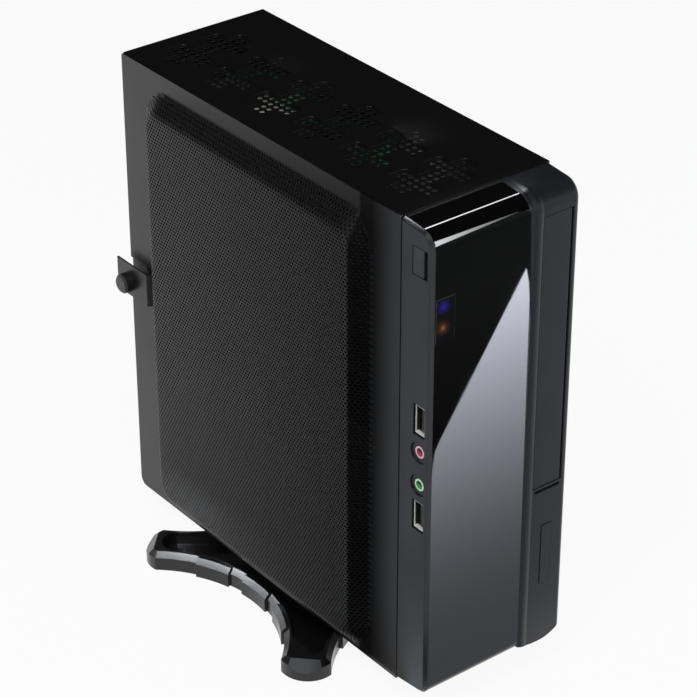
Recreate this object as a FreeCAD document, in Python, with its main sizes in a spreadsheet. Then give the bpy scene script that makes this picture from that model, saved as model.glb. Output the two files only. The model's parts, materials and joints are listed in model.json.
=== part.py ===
# Slim upright computer case on an X-shaped stand.
# Millimetres. X runs to the right seen from the front, Y runs to the back, Z is up.
# The origin is the middle of the whole case's width and depth, on the desk.
import FreeCAD, Part
import Sketcher
import math
import os
import re

doc = FreeCAD.newDocument("PcCase")

# Driving dimensions

SIZES = [
    ("case_width", 76.0),
    ("case_height", 222.0),
    ("case_depth", 191.0),
    ("sheet", 0.8),
    ("seam", 0.2),
    ("panel_radius", 4.0),
    ("bulge_height", 7.0),
    ("bulge_slope", 8.0),
    ("bulge_front_margin", 17.8),
    ("bulge_back_margin", 18.5),
    ("bulge_top_margin", 8.0),
    ("bulge_bottom_margin", 2.0),
    ("bulge_face_radius", 8.0),
    ("mesh_rows", 10),
    ("mesh_columns", 12),
    ("mesh_row_step", 19.0),
    ("mesh_column_step", 11.3),
    ("mesh_gap_width", 4.6),
    ("mesh_gap_height", 15.4),
    ("strap_height", 16.0),
    ("strap_bottom", 106.0),
    ("strap_rise", 4.8),
    ("strap_length", 26.0),
    ("strap_overhang", 4.0),
    ("vent_columns", 6),
    ("vent_pitch", 30.35),
    ("vent_first", 18.1),
    ("vent_row_first", 13.5),
    ("vent_row_step", 3.52),
    ("vent_hole_step", 3.72),
    ("vent_hole_radius", 1.3),
    ("vent_margin", 3.0),
    ("vent_recess", 0.4),
    ("rear_flange", 12.0),
    ("window_width", 44.45),
    ("window_length", 158.75),
    ("window_lip", 2.2),
    ("board_side", 170.0),
    ("board_bottom", 8.0),
    ("board_thickness", 1.6),
    ("board_hole_edge", 6.35),
    ("board_hole_rear", 10.16),
    ("board_hole_step_deep", 154.94),
    ("board_hole_offset", 22.86),
    ("board_hole_step_high", 157.48),
    ("standoff_height", 6.5),
    ("standoff_width", 5.5),
    ("standoff_hole_radius", 1.4),
    ("tray_set_in", 55.5),
    ("tray_flange", 10.0),
    ("tray_cutout", 70.0),
    ("bay_thickness", 12.7),
    ("bay_height", 128.0),
    ("bay_depth", 127.0),
    ("bay_arm", 15.5),
    ("disk_height", 70.0),
    ("disk_depth", 100.0),
    ("disk_arm", 11.0),
    ("disk_bottom", 5.0),
    ("bezel_depth", 19.0),
    ("bezel_wall", 2.2),
    ("bezel_top_drop", 0.9),
    ("bezel_top_radius", 8.0),
    ("bezel_bottom_rise", 1.5),
    ("bezel_bottom_radius", 5.0),
    ("bezel_left_bevel", 1.4),
    ("bezel_right_radius", 2.5),
    ("bezel_gap", 0.6),
    ("toe_peak", 64.0),
    ("toe_left_rise", 1.8),
    ("toe_right_rise", 4.6),
    ("toe_height", 7.0),
    ("gloss_left", 1.6),
    ("gloss_right", 51.7),
    ("gloss_back_inset", 1.2),
    ("gloss_taper", 2.2),
    ("gloss_taper_drop", 52.0),
    ("gloss_thickness", 1.4),
    ("gloss_seat_gap", 0.1),
    ("band_width", 4.8),
    ("band_crown", 0.4),
    ("door_left", 57.0),
    ("door_width", 15.3),
    ("door_bottom", 82.5),
    ("door_height", 128.0),
    ("door_thickness", 2.0),
    ("door_gap", 0.35),
    ("door_pin_radius", 0.6),
    ("door_pin_length", 1.2),
    ("pin_clearance", 0.06),
    ("notch_height", 1.6),
    ("notch_drop", 1.4),
    ("notch_depth", 1.2),
    ("eject_left", 62.7),
    ("eject_width", 5.3),
    ("eject_bottom", 32.5),
    ("eject_height", 29.5),
    ("eject_depth", 5.0),
    ("button_gap", 0.3),
    ("power_front", 16.2),
    ("power_length", 9.1),
    ("power_drop", 21.8),
    ("power_height", 12.6),
    ("power_face_length", 6.6),
    ("power_depth", 5.5),
    ("power_travel", 1.2),
    ("power_post", 2.0),
    ("port_from_seam", 12.4),
    ("usb_upper_height", 135.2),
    ("usb_lower_height", 89.9),
    ("usb_long", 13.1),
    ("usb_short", 5.9),
    ("usb_shell_wall", 0.4),
    ("usb_depth", 14.0),
    ("usb_tongue_thickness", 1.8),
    ("port_set_in", 0.8),
    ("mic_height", 120.4),
    ("headphone_height", 104.8),
    ("jack_nose_radius", 2.7),
    ("jack_bore_radius", 1.8),
    ("jack_body", 8.4),
    ("jack_depth", 12.0),
    ("dish_radius", 4.8),
    ("dish_depth", 0.7),
    ("port_board_thickness", 1.6),
    ("port_board_width", 26.0),
    ("port_board_bottom", 78.0),
    ("led_window_left", 2.4),
    ("led_window_width", 9.4),
    ("led_window_drop", 49.3),
    ("led_window_height", 19.4),
    ("led_window_lip", 0.8),
    ("led_across", 7.6),
    ("power_led_drop", 35.0),
    ("disk_led_drop", 44.3),
    ("led_radius", 1.5),
    ("led_length", 7.8),
    ("inlet_radius", 5.5),
    ("inlet_drop", 19.0),
    ("inlet_set_in", 22.0),
    ("inlet_bore_radius", 3.2),
    ("power_board_width", 26.0),
    ("power_board_length", 120.0),
    ("power_board_drop", 35.0),
    ("choke_radius", 6.0),
    ("choke_height", 9.0),
    ("stand_height", 13.6),
    ("stand_rim", 9.4),
    ("stand_bevel", 2.4),
    ("stand_waist", 41.5),
    ("stand_tip", 84.8),
    ("stand_tip_half_width", 11.0),
    ("stand_tip_bulge", 6.0),
    ("stand_tip_bevel", 5.0),
    ("stand_wall", 3.4),
    ("stand_floor", 2.6),
    ("stand_saddle", 54.0),
    ("stand_top", 3.0),
    ("stand_tip_hollow", 4.0),
    ("band_step", 1.2),
    ("middle_band", 18.0),
    ("outer_band_start", 17.0),
    ("outer_band_end", 33.0),
    ("pad_radius", 6.0),
    ("pad_thickness", 1.6),
    ("pad_proud", 0.6),
    ("stand_screw_spacing", 36.0),
    ("screw_radius", 1.5),
    ("screw_head_radius", 2.8),
    ("screw_head_height", 1.8),
    ("screw_length", 4.0),
    ("small_screw_radius", 1.3),
    ("thumb_radius", 4.6),
    ("thumb_height", 4.5),
    ("thumb_inset", 4.5),
    ("thumb_rise", 6.6),
    ("pad_spread", 69.0),
    ("button_stop_gap", 0.3),
]

sheet = doc.addObject("Spreadsheet::Sheet", "Sizes")
for row, (alias, value) in enumerate(SIZES, start=1):
    sheet.set("A%d" % row, alias)
    sheet.set("B%d" % row, str(value))
    sheet.setAlias("B%d" % row, alias)
doc.recompute()
SIZE = {alias: float(sheet.get(alias)) for alias, value in SIZES}
WORDS = re.compile(r"\b(" + "|".join(SIZE) + r")\b")


def bound(words):
    """An expression on the sheet, from a formula in the sheet's own names."""
    return WORDS.sub(r"Sizes.\1", words)


def worked(words):
    """The value of a formula in the sheet's own names."""
    return float(sheet.evalExpression(words))


# Formulas that several pieces share

LEFT = "(-case_width / 2)"
RIGHT = "(case_width / 2)"
FRONT = "(-(case_depth + strap_overhang - bezel_depth - band_crown) / 2)"
BACK = "((case_depth - strap_overhang + bezel_depth + band_crown) / 2)"
MIDDLE = "((bezel_depth + band_crown - strap_overhang) / 2)"
FLOOR = "(stand_height)"
ROOF = "(stand_height + case_height)"
FACE = "(-(case_depth + strap_overhang + bezel_depth - band_crown) / 2)"
SHELL_LEFT = "(-case_width / 2 + sheet + seam)"
SHELL_RIGHT = "(case_width / 2 - sheet)"
SHELL_FLOOR = "(stand_height + sheet)"
SHELL_ROOF = "(stand_height + case_height - sheet)"
TRAY = "(-case_width / 2 + tray_set_in)"
BOARD_BACK = "(-case_width / 2 + tray_set_in - standoff_height)"
BOARD_REAR = BACK[:-1] + " - sheet - 1)"
PORT_LINE = FRONT[:-1] + " - port_from_seam)"
PORT_BOARD = FRONT[:-1] + " - port_from_seam + usb_short / 2)"
X_AXIS = FreeCAD.Rotation(FreeCAD.Vector(0, 1, 0), 90)
Y_AXIS = FreeCAD.Rotation(FreeCAD.Vector(1, 0, 0), -90)
Z_AXIS = FreeCAD.Rotation()
TURN = {"x": X_AXIS, "y": Y_AXIS, "z": Z_AXIS}
AXIS = {"x": FreeCAD.Vector(1, 0, 0), "y": FreeCAD.Vector(0, 1, 0), "z": FreeCAD.Vector(0, 0, 1)}
pieces = []


def place(item, spot):
    """Ties an object's corner or foot to three formulas."""
    for letter, words in zip("xyz", spot):
        item.setExpression(".Placement.Base.%s" % letter, bound(words))


def block(name, low, high):
    """A box between two corners, each given as three formulas."""
    item = doc.addObject("Part::Box", name)
    place(item, low)
    for side, start, end in zip(("Length", "Width", "Height"), low, high):
        item.setExpression(side, bound("(%s) - (%s)" % (end, start)))
    return item


def rod(name, foot, radius, length, axis):
    """A cylinder along one axis, from its foot."""
    item = doc.addObject("Part::Cylinder", name)
    item.Placement.Rotation = TURN[axis]
    place(item, foot)
    item.setExpression("Radius", bound(radius))
    item.setExpression("Height", bound(length))
    return item


def fuse(name, parts):
    item = doc.addObject("Part::MultiFuse", name)
    item.Shapes = parts
    return item


def cut(name, base, tools):
    item = doc.addObject("Part::Cut", name)
    item.Base = base
    item.Tool = tools[0] if len(tools) == 1 else fuse(name + "Tools", tools)
    return item


def bundle(name, parts):
    item = doc.addObject("Part::Compound", name)
    item.Links = parts
    return item


def shaped(name, shape):
    """A form that no primitive gives, worked out from the sheet's values."""
    item = doc.addObject("Part::Feature", name)
    item.Shape = shape
    return item


def piece(item, label):
    item.Label = label
    pieces.append(item)
    return item


def point(x, y, z):
    return FreeCAD.Vector(worked(x), worked(y), worked(z))


def drilled(name, spots, radius, length, axis):
    """Like cylinders at several spots, as one compound."""
    reach = worked(length)
    holes = [Part.makeCylinder(worked(radius), reach, spot, AXIS[axis]) for spot in spots]
    return shaped(name, Part.makeCompound(holes))


def screws(label, spots, shank, radius, out):
    """Pan-head screws: each head stands on its spot, its shank runs the other way."""
    head = "screw_head_height"
    made = []
    for spot in spots:
        top = Part.makeCylinder(SIZE["screw_head_radius"], worked(head), spot, out)
        edge = [e for e in top.Edges if abs(e.CenterOfMass.sub(spot).dot(out) - worked(head)) < 0.01]
        top = top.makeFillet(worked(head) * 0.4, edge[:1])
        slot = Part.makeCylinder(SIZE["screw_head_radius"] * 0.35, worked(head) * 0.5,
                                 spot + out * (worked(head) * 0.6), out)
        stem = Part.makeCylinder(worked(radius), worked(shank), spot, out * -1)
        made.append(top.cut(slot).fuse(stem).removeSplitter())
    return piece(shaped(label.title().replace("_", ""), Part.makeCompound(made)), label)


# Outer shell: top, right side and bottom, folded from one sheet

def vent_spots():
    """Hole centres of the double crosses: a long column two holes wide, crossed by two bars."""
    row_step = SIZE["vent_row_step"]
    hole_step = SIZE["vent_hole_step"]
    spots = []
    for column in range(int(SIZE["vent_columns"])):
        for row in range(11):
            count = 6 if row in (2, 3, 7, 8) else 2
            for hole in range(count):
                y = worked(FRONT) + SIZE["vent_first"] + column * SIZE["vent_pitch"]
                y += (hole - (count - 1) / 2) * hole_step
                x = worked(LEFT) + SIZE["vent_row_first"] + row * row_step
                spots.append(FreeCAD.Vector(x, y, worked(SHELL_ROOF) - 1))
    return spots


def vent_recess():
    """The shallow double-cross recesses that the holes stand in."""
    row_step = SIZE["vent_row_step"]
    margin = SIZE["vent_margin"]
    floor = worked(ROOF + " - vent_recess")
    made = []
    for column in range(int(SIZE["vent_columns"])):
        y = worked(FRONT) + SIZE["vent_first"] + column * SIZE["vent_pitch"]
        x = worked(LEFT) + SIZE["vent_row_first"]
        boxes = [(0, 10, 2), (2, 3, 6), (7, 8, 6)]
        forms = []
        for first, last, count in boxes:
            half = (count - 1) / 2 * SIZE["vent_hole_step"] + margin
            long_side = (last - first) * row_step + margin * 2
            form = Part.makeBox(long_side, half * 2, 2,
                                FreeCAD.Vector(x + first * row_step - margin, y - half, floor))
            upright = [e for e in form.Edges if abs(e.Length - 2) < 0.01]
            forms.append(form.makeFillet(margin * 0.7, upright))
        made.append(forms[0].fuse(forms[1:]).removeSplitter())
    return Part.makeCompound(made)


def hex_rod(spot, radius, length, axis):
    """A six-sided prism as wide across its corners as the round hole that it stands for."""
    spoke = FreeCAD.Vector(axis.y, axis.z, axis.x) * radius
    ring = Part.makePolygon([spot + FreeCAD.Rotation(axis, 60 * turn).multVec(spoke) for turn in range(7)])
    return Part.Face(ring).extrude(axis * length)


vents = shaped("VentHoles", Part.makeCompound(
    [hex_rod(spot, SIZE["vent_hole_radius"], SIZE["sheet"] + 2, AXIS["z"]) for spot in vent_spots()]))
BRACKET_SPOTS = [
    point(RIGHT, words, height)
    for words, height in (
        (FRONT + " + 20", FLOOR + " + door_bottom + door_height / 2"),
        (FRONT + " + bay_depth - 20", FLOOR + " + door_bottom + door_height / 2"),
        (FRONT + " + 20", FLOOR + " + disk_bottom + disk_height / 2"),
        (FRONT + " + disk_depth - 20", FLOOR + " + disk_bottom + disk_height / 2"))]
TRAY_SPOTS = [point(TRAY + " + sheet + tray_flange / 2", y, FLOOR) for y in ("-70", "70")]
STAND_SPOTS = [point("0", MIDDLE + words, FLOOR + " - stand_top") for words in
               (" - stand_screw_spacing / 2", " + stand_screw_spacing / 2")]
outer = block("ShellOuter", (SHELL_LEFT, FRONT, FLOOR), (RIGHT, BACK, ROOF))
inner = block("ShellInner", (SHELL_LEFT + " - 1", FRONT + " - 1", SHELL_FLOOR),
              (SHELL_RIGHT, BACK + " + 1", SHELL_ROOF))
side_holes = drilled("SideScrewHoles", [spot - AXIS["x"] * 3 for spot in BRACKET_SPOTS],
                     "screw_radius + 0.1", "6", "x")
floor_holes = drilled("FloorScrewHoles",
                      [spot - AXIS["z"] * 1 for spot in TRAY_SPOTS]
                      + [FreeCAD.Vector(spot.x, spot.y, worked(FLOOR) - 1) for spot in STAND_SPOTS],
                      "screw_radius + 0.1", "sheet + 2", "z")
recess = shaped("VentRecess", vent_recess())
folded = cut("FoldedShell", outer, [inner, side_holes, floor_holes])
pressed = cut("PressedShell", folded, [recess])
piece(cut("OuterShell", pressed, [vents]), "outer_shell")


# Left side panel: flat sheet with folded rims, a raised perforated bulge and a lock strap

def rounded(x, y0, y1, z0, z1, radius):
    """A rectangle with round corners, across X."""
    corners = ((y0, z0, 180), (y1, z0, 270), (y1, z1, 0), (y0, z1, 90))
    edges = []
    ends = []
    for y, z, start in corners:
        centre = FreeCAD.Vector(x, y + (radius if y == y0 else -radius),
                                z + (radius if z == z0 else -radius))
        arc_points = []
        for turn in (0, 45, 90):
            angle = math.radians(start + turn)
            arc_points.append(centre + FreeCAD.Vector(0, math.cos(angle) * radius, math.sin(angle) * radius))
        edges.append(Part.Arc(*arc_points).toShape())
        ends.append((arc_points[0], arc_points[2]))
    sides = [Part.LineSegment(ends[i][1], ends[(i + 1) % 4][0]).toShape() for i in range(4)]
    loop = [edge for pair in zip(edges, sides) for edge in pair]
    return Part.Wire(loop)


def bulge(inset):
    """The raised form's outside, or its inside when inset by the sheet."""
    y0 = worked(FRONT) + SIZE["bulge_front_margin"]
    y1 = worked(BACK) - SIZE["bulge_back_margin"]
    z0 = worked(FLOOR) + SIZE["bulge_bottom_margin"]
    z1 = worked(ROOF) - SIZE["bulge_top_margin"]
    slope = SIZE["bulge_slope"]
    radius = SIZE["bulge_face_radius"]
    foot = rounded(worked(LEFT) + inset, y0 + inset, y1 - inset, z0 + inset, z1 - inset,
                   radius + slope - inset)
    face = rounded(worked(LEFT) - SIZE["bulge_height"] + inset, y0 + slope + inset, y1 - slope - inset,
                   z0 + slope + inset, z1 - slope - inset, radius - inset)
    return foot, face


def mesh_gaps():
    """The coarse grid of gaps in the bulge's face, which stands for its fine mesh."""
    rows = int(SIZE["mesh_rows"])
    columns = int(SIZE["mesh_columns"])
    wide = SIZE["mesh_gap_width"]
    tall = SIZE["mesh_gap_height"]
    middle = point(LEFT + " - bulge_height - 1", MIDDLE + " + (bulge_front_margin - bulge_back_margin) / 2",
                   FLOOR + " + (case_height + bulge_bottom_margin - bulge_top_margin) / 2")
    gaps = []
    for row in range(rows):
        for column in range(columns):
            y = (column - (columns - 1) / 2) * SIZE["mesh_column_step"] - wide / 2
            z = (row - (rows - 1) / 2) * SIZE["mesh_row_step"] - tall / 2
            gaps.append(Part.makeBox(SIZE["sheet"] + 2, wide, tall, middle + FreeCAD.Vector(0, y, z)))
    return gaps


def side_panel():
    thick = SIZE["sheet"]
    left = worked(LEFT)
    height = worked("case_height")
    radius = SIZE["panel_radius"]
    plate = Part.makeBox(thick, worked("case_depth"), height, point(LEFT, FRONT, FLOOR))
    back_edges = [e for e in plate.Edges if abs(e.Length - thick) < 0.01 and e.CenterOfMass.y > 0]
    plate = plate.makeFillet(radius, [e for e in back_edges if e.CenterOfMass.z < worked(FLOOR) + 1])
    plate = plate.makeFillet(1.2, [e for e in plate.Edges if abs(e.Length - thick) < 0.01
                                   and e.CenterOfMass.y > 0 and e.CenterOfMass.z > worked(FLOOR) + 100])
    foot_outside, face_outside = bulge(0)
    foot_inside, face_inside = bulge(thick)
    outside = Part.makeLoft([foot_outside, face_outside], True, True)
    inside = Part.makeLoft([foot_inside, face_inside], True, True)
    window = Part.Face(foot_inside).extrude(FreeCAD.Vector(thick * 2, 0, 0))
    window.translate(FreeCAD.Vector(-thick, 0, 0))
    body = plate.fuse(outside).cut(inside).cut(window)
    rim = SIZE["rear_flange"]
    for z in (worked(SHELL_FLOOR) + 0.1, worked(SHELL_ROOF) - thick - 0.1):
        fold = Part.makeBox(rim * 0.6, worked("case_depth") - 30, thick,
                            FreeCAD.Vector(left, worked(FRONT) + 15, z))
        body = body.fuse(fold)
    y_strap = worked(BACK + " + strap_overhang - strap_length")
    z_strap = worked(FLOOR + " + strap_bottom")
    rise = SIZE["strap_rise"]
    tall = SIZE["strap_height"]
    opening = Part.makeBox(thick + 2, worked("strap_length - strap_overhang") + 1, tall,
                           FreeCAD.Vector(left - 1, y_strap, z_strap))
    body = body.cut(opening)
    line = [(0, y_strap - thick), (0, y_strap), (-rise, y_strap + 3.0),
            (-rise, worked(BACK + " + strap_overhang")),
            (-rise + thick, worked(BACK + " + strap_overhang")), (-rise + thick, y_strap + 3.0 + 0.3),
            (thick, y_strap + 0.3), (thick, y_strap - thick)]
    outline = Part.makePolygon([FreeCAD.Vector(left + x, y, z_strap) for x, y in line + line[:1]])
    strap = Part.Face(outline).extrude(FreeCAD.Vector(0, 0, tall))
    body = body.fuse(strap).removeSplitter()
    bore = Part.makeCylinder(worked("screw_radius + 0.1"), 4, THUMB_SPOT - AXIS["x"] * 2, AXIS["x"])
    return body.cut(Part.makeCompound(mesh_gaps() + [bore]))


THUMB_SPOT = point(LEFT + " - strap_rise", BACK + " - thumb_inset", FLOOR + " + strap_bottom + thumb_rise")
piece(shaped("SidePanel", side_panel()), "side_panel")


# Thumb screw: a turned head and a shank into the rear panel's flange

def revolved(name, outline, spot, turn):
    """A turned piece: a half outline of (radius, height) formulas, spun about its own axis."""
    body = doc.addObject("PartDesign::Body", name)
    plane = [item for item in body.Origin.OriginFeatures if item.Role == "XZ_Plane"][0]
    drawing = body.newObject("Sketcher::SketchObject", name + "Sketch")
    drawing.AttachmentSupport = [(plane, "")]
    drawing.MapMode = "FlatFace"
    values = [(worked(radius), worked(height)) for radius, height in outline]
    for index, start in enumerate(values):
        end = values[(index + 1) % len(values)]
        drawing.addGeometry(Part.LineSegment(FreeCAD.Vector(*start, 0), FreeCAD.Vector(*end, 0)), False)
    count = len(values)
    for index in range(count):
        drawing.addConstraint(Sketcher.Constraint("Coincident", index, 2, (index + 1) % count, 1))
    for index, (radius, height) in enumerate(outline):
        across = drawing.addConstraint(Sketcher.Constraint("DistanceX", -1, 1, index, 1, values[index][0]))
        drawing.setExpression("Constraints[%d]" % across, bound(radius))
        along = drawing.addConstraint(Sketcher.Constraint("DistanceY", -1, 1, index, 1, values[index][1]))
        drawing.setExpression("Constraints[%d]" % along, bound(height))
    spin = body.newObject("PartDesign::Revolution", name + "Spin")
    spin.Profile = drawing
    spin.ReferenceAxis = (drawing, ["V_Axis"])
    spin.Angle = 360
    body.Placement = FreeCAD.Placement(spot, turn)
    return body


thumb = revolved(
    "ThumbScrew",
    [("0", "-strap_rise - 3"), ("screw_radius", "-strap_rise - 3"), ("screw_radius", "0"),
     ("thumb_radius", "0"), ("thumb_radius", "thumb_height * 0.8"),
     ("thumb_radius * 0.8", "thumb_height"), ("0", "thumb_height")],
    THUMB_SPOT, FreeCAD.Rotation(FreeCAD.Vector(0, 1, 0), -90))
piece(thumb, "thumb_screw")


# Rear panel with the port window, the inlet hole, small vents and a side flange

rear_plate = block("RearPlate", (SHELL_LEFT, BACK + " - sheet", SHELL_FLOOR + " + seam"),
                   (SHELL_RIGHT + " - seam", BACK, SHELL_ROOF + " - seam"))
rear_side = block("RearFlange", (SHELL_LEFT, BACK + " - rear_flange", SHELL_FLOOR + " + 2"),
                  (SHELL_LEFT + " + sheet", BACK + " - sheet", SHELL_ROOF + " - 2"))
WINDOW_LOW = FLOOR + " + board_bottom + (board_side - window_length) / 2"
rear_window = block("PortWindow",
                    (BOARD_BACK + " + window_lip - window_width", BACK + " - sheet - 1", WINDOW_LOW),
                    (BOARD_BACK + " + window_lip", BACK + " + 1", WINDOW_LOW + " + window_length"))
INLET = (LEFT + " + inlet_set_in", BACK + " - sheet - 1", ROOF + " - inlet_drop")
inlet_hole = rod("InletHole", INLET, "inlet_radius + 0.15", "sheet + 2", "y")
rear_vents = shaped("RearVents", Part.makeCompound([
    hex_rod(point(LEFT + " + 31 + %d * 5.2" % column, BACK + " - 2", FLOOR + " + 188 + %d * 5.2" % row),
            1.8, 4, AXIS["y"]) for column in range(4) for row in range(5)]))
flange_hole = drilled("FlangeHole", [THUMB_SPOT], "screw_radius + 0.05", "strap_rise + 6", "x")
REAR_SPOTS = [point(TRAY + " + sheet + tray_flange / 2", BACK, height)
              for height in (FLOOR + " + 24", FLOOR + " + case_height / 2", FLOOR + " + 178")]
rear_screw_holes = drilled("RearScrewHoles", [spot - AXIS["y"] * 4 for spot in REAR_SPOTS],
                           "screw_radius + 0.1", "6", "y")
rear_whole = fuse("RearWhole", [rear_plate, rear_side])
piece(cut("RearPanel", rear_whole, [rear_window, inlet_hole, rear_vents, flange_hole, rear_screw_holes]),
      "rear_panel")

# Front plate behind the bezel

BAY_LEFT = LEFT + " + door_left + (door_width - bay_thickness) / 2"
front_sheet = block("FrontSheet", (SHELL_LEFT, FRONT, SHELL_FLOOR + " + seam"),
                    (SHELL_RIGHT + " - seam", FRONT + " + sheet", SHELL_ROOF + " - seam"))
bay_hole = block("BayHole", (BAY_LEFT + " - 0.4", FRONT + " - 1", FLOOR + " + door_bottom - 0.2"),
                 (BAY_LEFT + " + bay_thickness + 0.4", FRONT + " + sheet + 1",
                  FLOOR + " + door_bottom + door_height + 0.2"))
lead_hole = block("LeadHole", (LEFT + " + 9", FRONT + " - 1", FLOOR + " + 96"),
                  (LEFT + " + 25", FRONT + " + sheet + 1", FLOOR + " + 132"))
front_vents = shaped("FrontVents", Part.makeCompound([
    hex_rod(point(LEFT + " + 12 + %d * 9" % column, FRONT + " - 1", FLOOR + " + 20 + %d * 9" % row),
            3, 4, AXIS["y"]) for column in range(4) for row in range(6)]))
piece(cut("FrontPlate", front_sheet, [bay_hole, lead_hole, front_vents]), "front_plate")

# Board tray, its rear and edge flanges, and the standoffs

TRAY_FRONT = BOARD_REAR + " - board_side - 8"
TRAY_BACK = BACK + " - sheet"
tray_plate = block("TrayPlate", (TRAY, TRAY_FRONT, SHELL_FLOOR),
                   (TRAY + " + sheet", TRAY_BACK, SHELL_ROOF))
tray_foot = block("TrayFoot", (TRAY + " + sheet", TRAY_FRONT, SHELL_FLOOR),
                  (TRAY + " + sheet + tray_flange", TRAY_BACK, SHELL_FLOOR + " + sheet"))
tray_top = block("TrayTop", (TRAY + " + sheet", TRAY_FRONT, SHELL_ROOF + " - sheet"),
                 (TRAY + " + sheet + tray_flange", TRAY_BACK, SHELL_ROOF))
tray_rear = block("TrayRear", (TRAY + " + sheet", TRAY_BACK + " - sheet", SHELL_FLOOR + " + 3"),
                  (TRAY + " + sheet + tray_flange", TRAY_BACK, SHELL_ROOF + " - 3"))
tray_window = block("TrayWindow",
                    (TRAY + " - 1", BOARD_REAR + " - board_side / 2 - tray_cutout / 2",
                     FLOOR + " + board_bottom + board_side / 2 - tray_cutout / 2"),
                    (TRAY + " + sheet + 1", BOARD_REAR + " - board_side / 2 + tray_cutout / 2",
                     FLOOR + " + board_bottom + board_side / 2 + tray_cutout / 2"))
tray_floor_holes = drilled("TrayFloorHoles", [spot - AXIS["z"] for spot in TRAY_SPOTS],
                           "screw_radius + 0.05", "6", "z")
tray_rear_holes = drilled("TrayRearHoles", [spot - AXIS["y"] * 6 for spot in REAR_SPOTS],
                          "screw_radius + 0.05", "6", "y")
tray_whole = fuse("TrayWhole", [tray_plate, tray_foot, tray_top, tray_rear])
piece(cut("BoardTray", tray_whole, [tray_window, tray_floor_holes, tray_rear_holes]), "board_tray")


def hexagon(spot, across, length, hole):
    """A hexagonal spacer along X with a hole through it."""
    radius = across / math.sqrt(3)
    return hex_rod(spot, radius, length, AXIS["x"]).cut(
        Part.makeCylinder(hole, length, spot, AXIS["x"]))


def standoff_set(spots):
    return Part.makeCompound([hexagon(spot, SIZE["standoff_width"], SIZE["standoff_height"],
                                      SIZE["standoff_hole_radius"]) for spot in spots])


BOARD_SPOTS = [
    point(BOARD_BACK, BOARD_REAR + " - board_hole_rear - " + deep,
          FLOOR + " + board_bottom + board_hole_edge + " + high)
    for deep, high in (("0", "0"), ("board_hole_step_deep", "0"),
                       ("board_hole_offset", "board_hole_step_high"),
                       ("board_hole_step_deep", "board_hole_step_high"))]
piece(shaped("BoardStandoffs", standoff_set(BOARD_SPOTS)), "board_standoffs")

# Drive brackets: two folded channels against the right side


def channel(name, low, high, arm, depth):
    """A folded channel: a back on the right side and two arms, which hold what lies between."""
    y0 = FRONT + " + sheet + seam"
    y1 = FRONT + " + sheet + seam + " + depth
    back = block(name + "Back", (SHELL_RIGHT + " - sheet", y0, low + " - sheet"),
                 (SHELL_RIGHT, y1, high + " + sheet"))
    lower = block(name + "Lower", (SHELL_RIGHT + " - sheet - " + arm, y0, low + " - sheet"),
                  (SHELL_RIGHT + " - sheet", y1, low))
    upper = block(name + "Upper", (SHELL_RIGHT + " - sheet - " + arm, y0, high),
                  (SHELL_RIGHT + " - sheet", y1, high + " + sheet"))
    holes = drilled(name + "Holes", [spot - AXIS["x"] * 6 for spot in BRACKET_SPOTS],
                    "screw_radius + 0.05", "7", "x")
    return cut(name, fuse(name + "Whole", [back, lower, upper]), [holes])


piece(channel("BayBracket", FLOOR + " + door_bottom - 0.3", FLOOR + " + door_bottom + bay_height + 0.3",
              "bay_arm", "bay_depth"), "bay_bracket")
piece(channel("DiskBracket", FLOOR + " + disk_bottom", FLOOR + " + disk_bottom + disk_height",
              "disk_arm", "disk_depth"), "disk_bracket")

# Power board with its spacers, chokes and output socket, and the inlet in the rear panel

POWER_LOW = ROOF + " - power_board_drop"
POWER_FRONT = BOARD_REAR + " - power_board_length - 2"
power_plate = block("PowerPlate", (BOARD_BACK + " - board_thickness", POWER_FRONT, POWER_LOW),
                    (BOARD_BACK, BOARD_REAR + " - 2", POWER_LOW + " + power_board_width"))
POWER_SPOTS = [point(BOARD_BACK, words, POWER_LOW + " + power_board_width / 2")
               for words in (POWER_FRONT + " + 6", BOARD_REAR + " - 8")]
power_holes = drilled("PowerHoles", [spot - AXIS["x"] * 3 for spot in POWER_SPOTS],
                      "small_screw_radius + 0.1", "4", "x")
piece(cut("PowerBoard", power_plate, [power_holes]), "power_board")
piece(shaped("PowerStandoffs", standoff_set(POWER_SPOTS)), "power_board_standoffs")
choke_spots = [point(BOARD_BACK + " - board_thickness - choke_height", POWER_FRONT + " + %d" % along,
                     POWER_LOW + " + power_board_width / 2") for along in (24, 42)]
chokes = [Part.makeCylinder(SIZE["choke_radius"], SIZE["choke_height"], spot, AXIS["x"]).cut(
    Part.makeCylinder(SIZE["choke_radius"] * 0.4, SIZE["choke_height"] * 0.6, spot, AXIS["x"]))
    for spot in choke_spots]
piece(shaped("PowerChokes", Part.makeCompound(chokes)), "power_chokes")
socket_body = block("SocketBody",
                    (BOARD_BACK + " - board_thickness - 12.8", POWER_FRONT + " + 56", POWER_LOW + " + 6"),
                    (BOARD_BACK + " - board_thickness", POWER_FRONT + " + 107.6", POWER_LOW + " + 15.6"))
socket_mouth = block("SocketMouth",
                     (BOARD_BACK + " - board_thickness - 13.8", POWER_FRONT + " + 57", POWER_LOW + " + 7"),
                     (BOARD_BACK + " - board_thickness - 3", POWER_FRONT + " + 106.6",
                      POWER_LOW + " + 14.6"))
piece(cut("PowerSocket", socket_body, [socket_mouth]), "power_socket")
inlet_rim = rod("InletRim", (INLET[0], BACK, INLET[2]), "inlet_radius + 1.5", "1.8", "y")
inlet_barrel = rod("InletBarrel", (INLET[0], BACK + " - 12", INLET[2]), "inlet_radius", "12.5", "y")
inlet_mouth = rod("InletMouth", (INLET[0], BACK + " - 9", INLET[2]), "inlet_bore_radius", "12", "y")
inlet_pin = rod("InletPin", (INLET[0], BACK + " - 10", INLET[2]), "1.0", "10.5", "y")
inlet_case = cut("InletCase", fuse("InletSolid", [inlet_rim, inlet_barrel]), [inlet_mouth])
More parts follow.
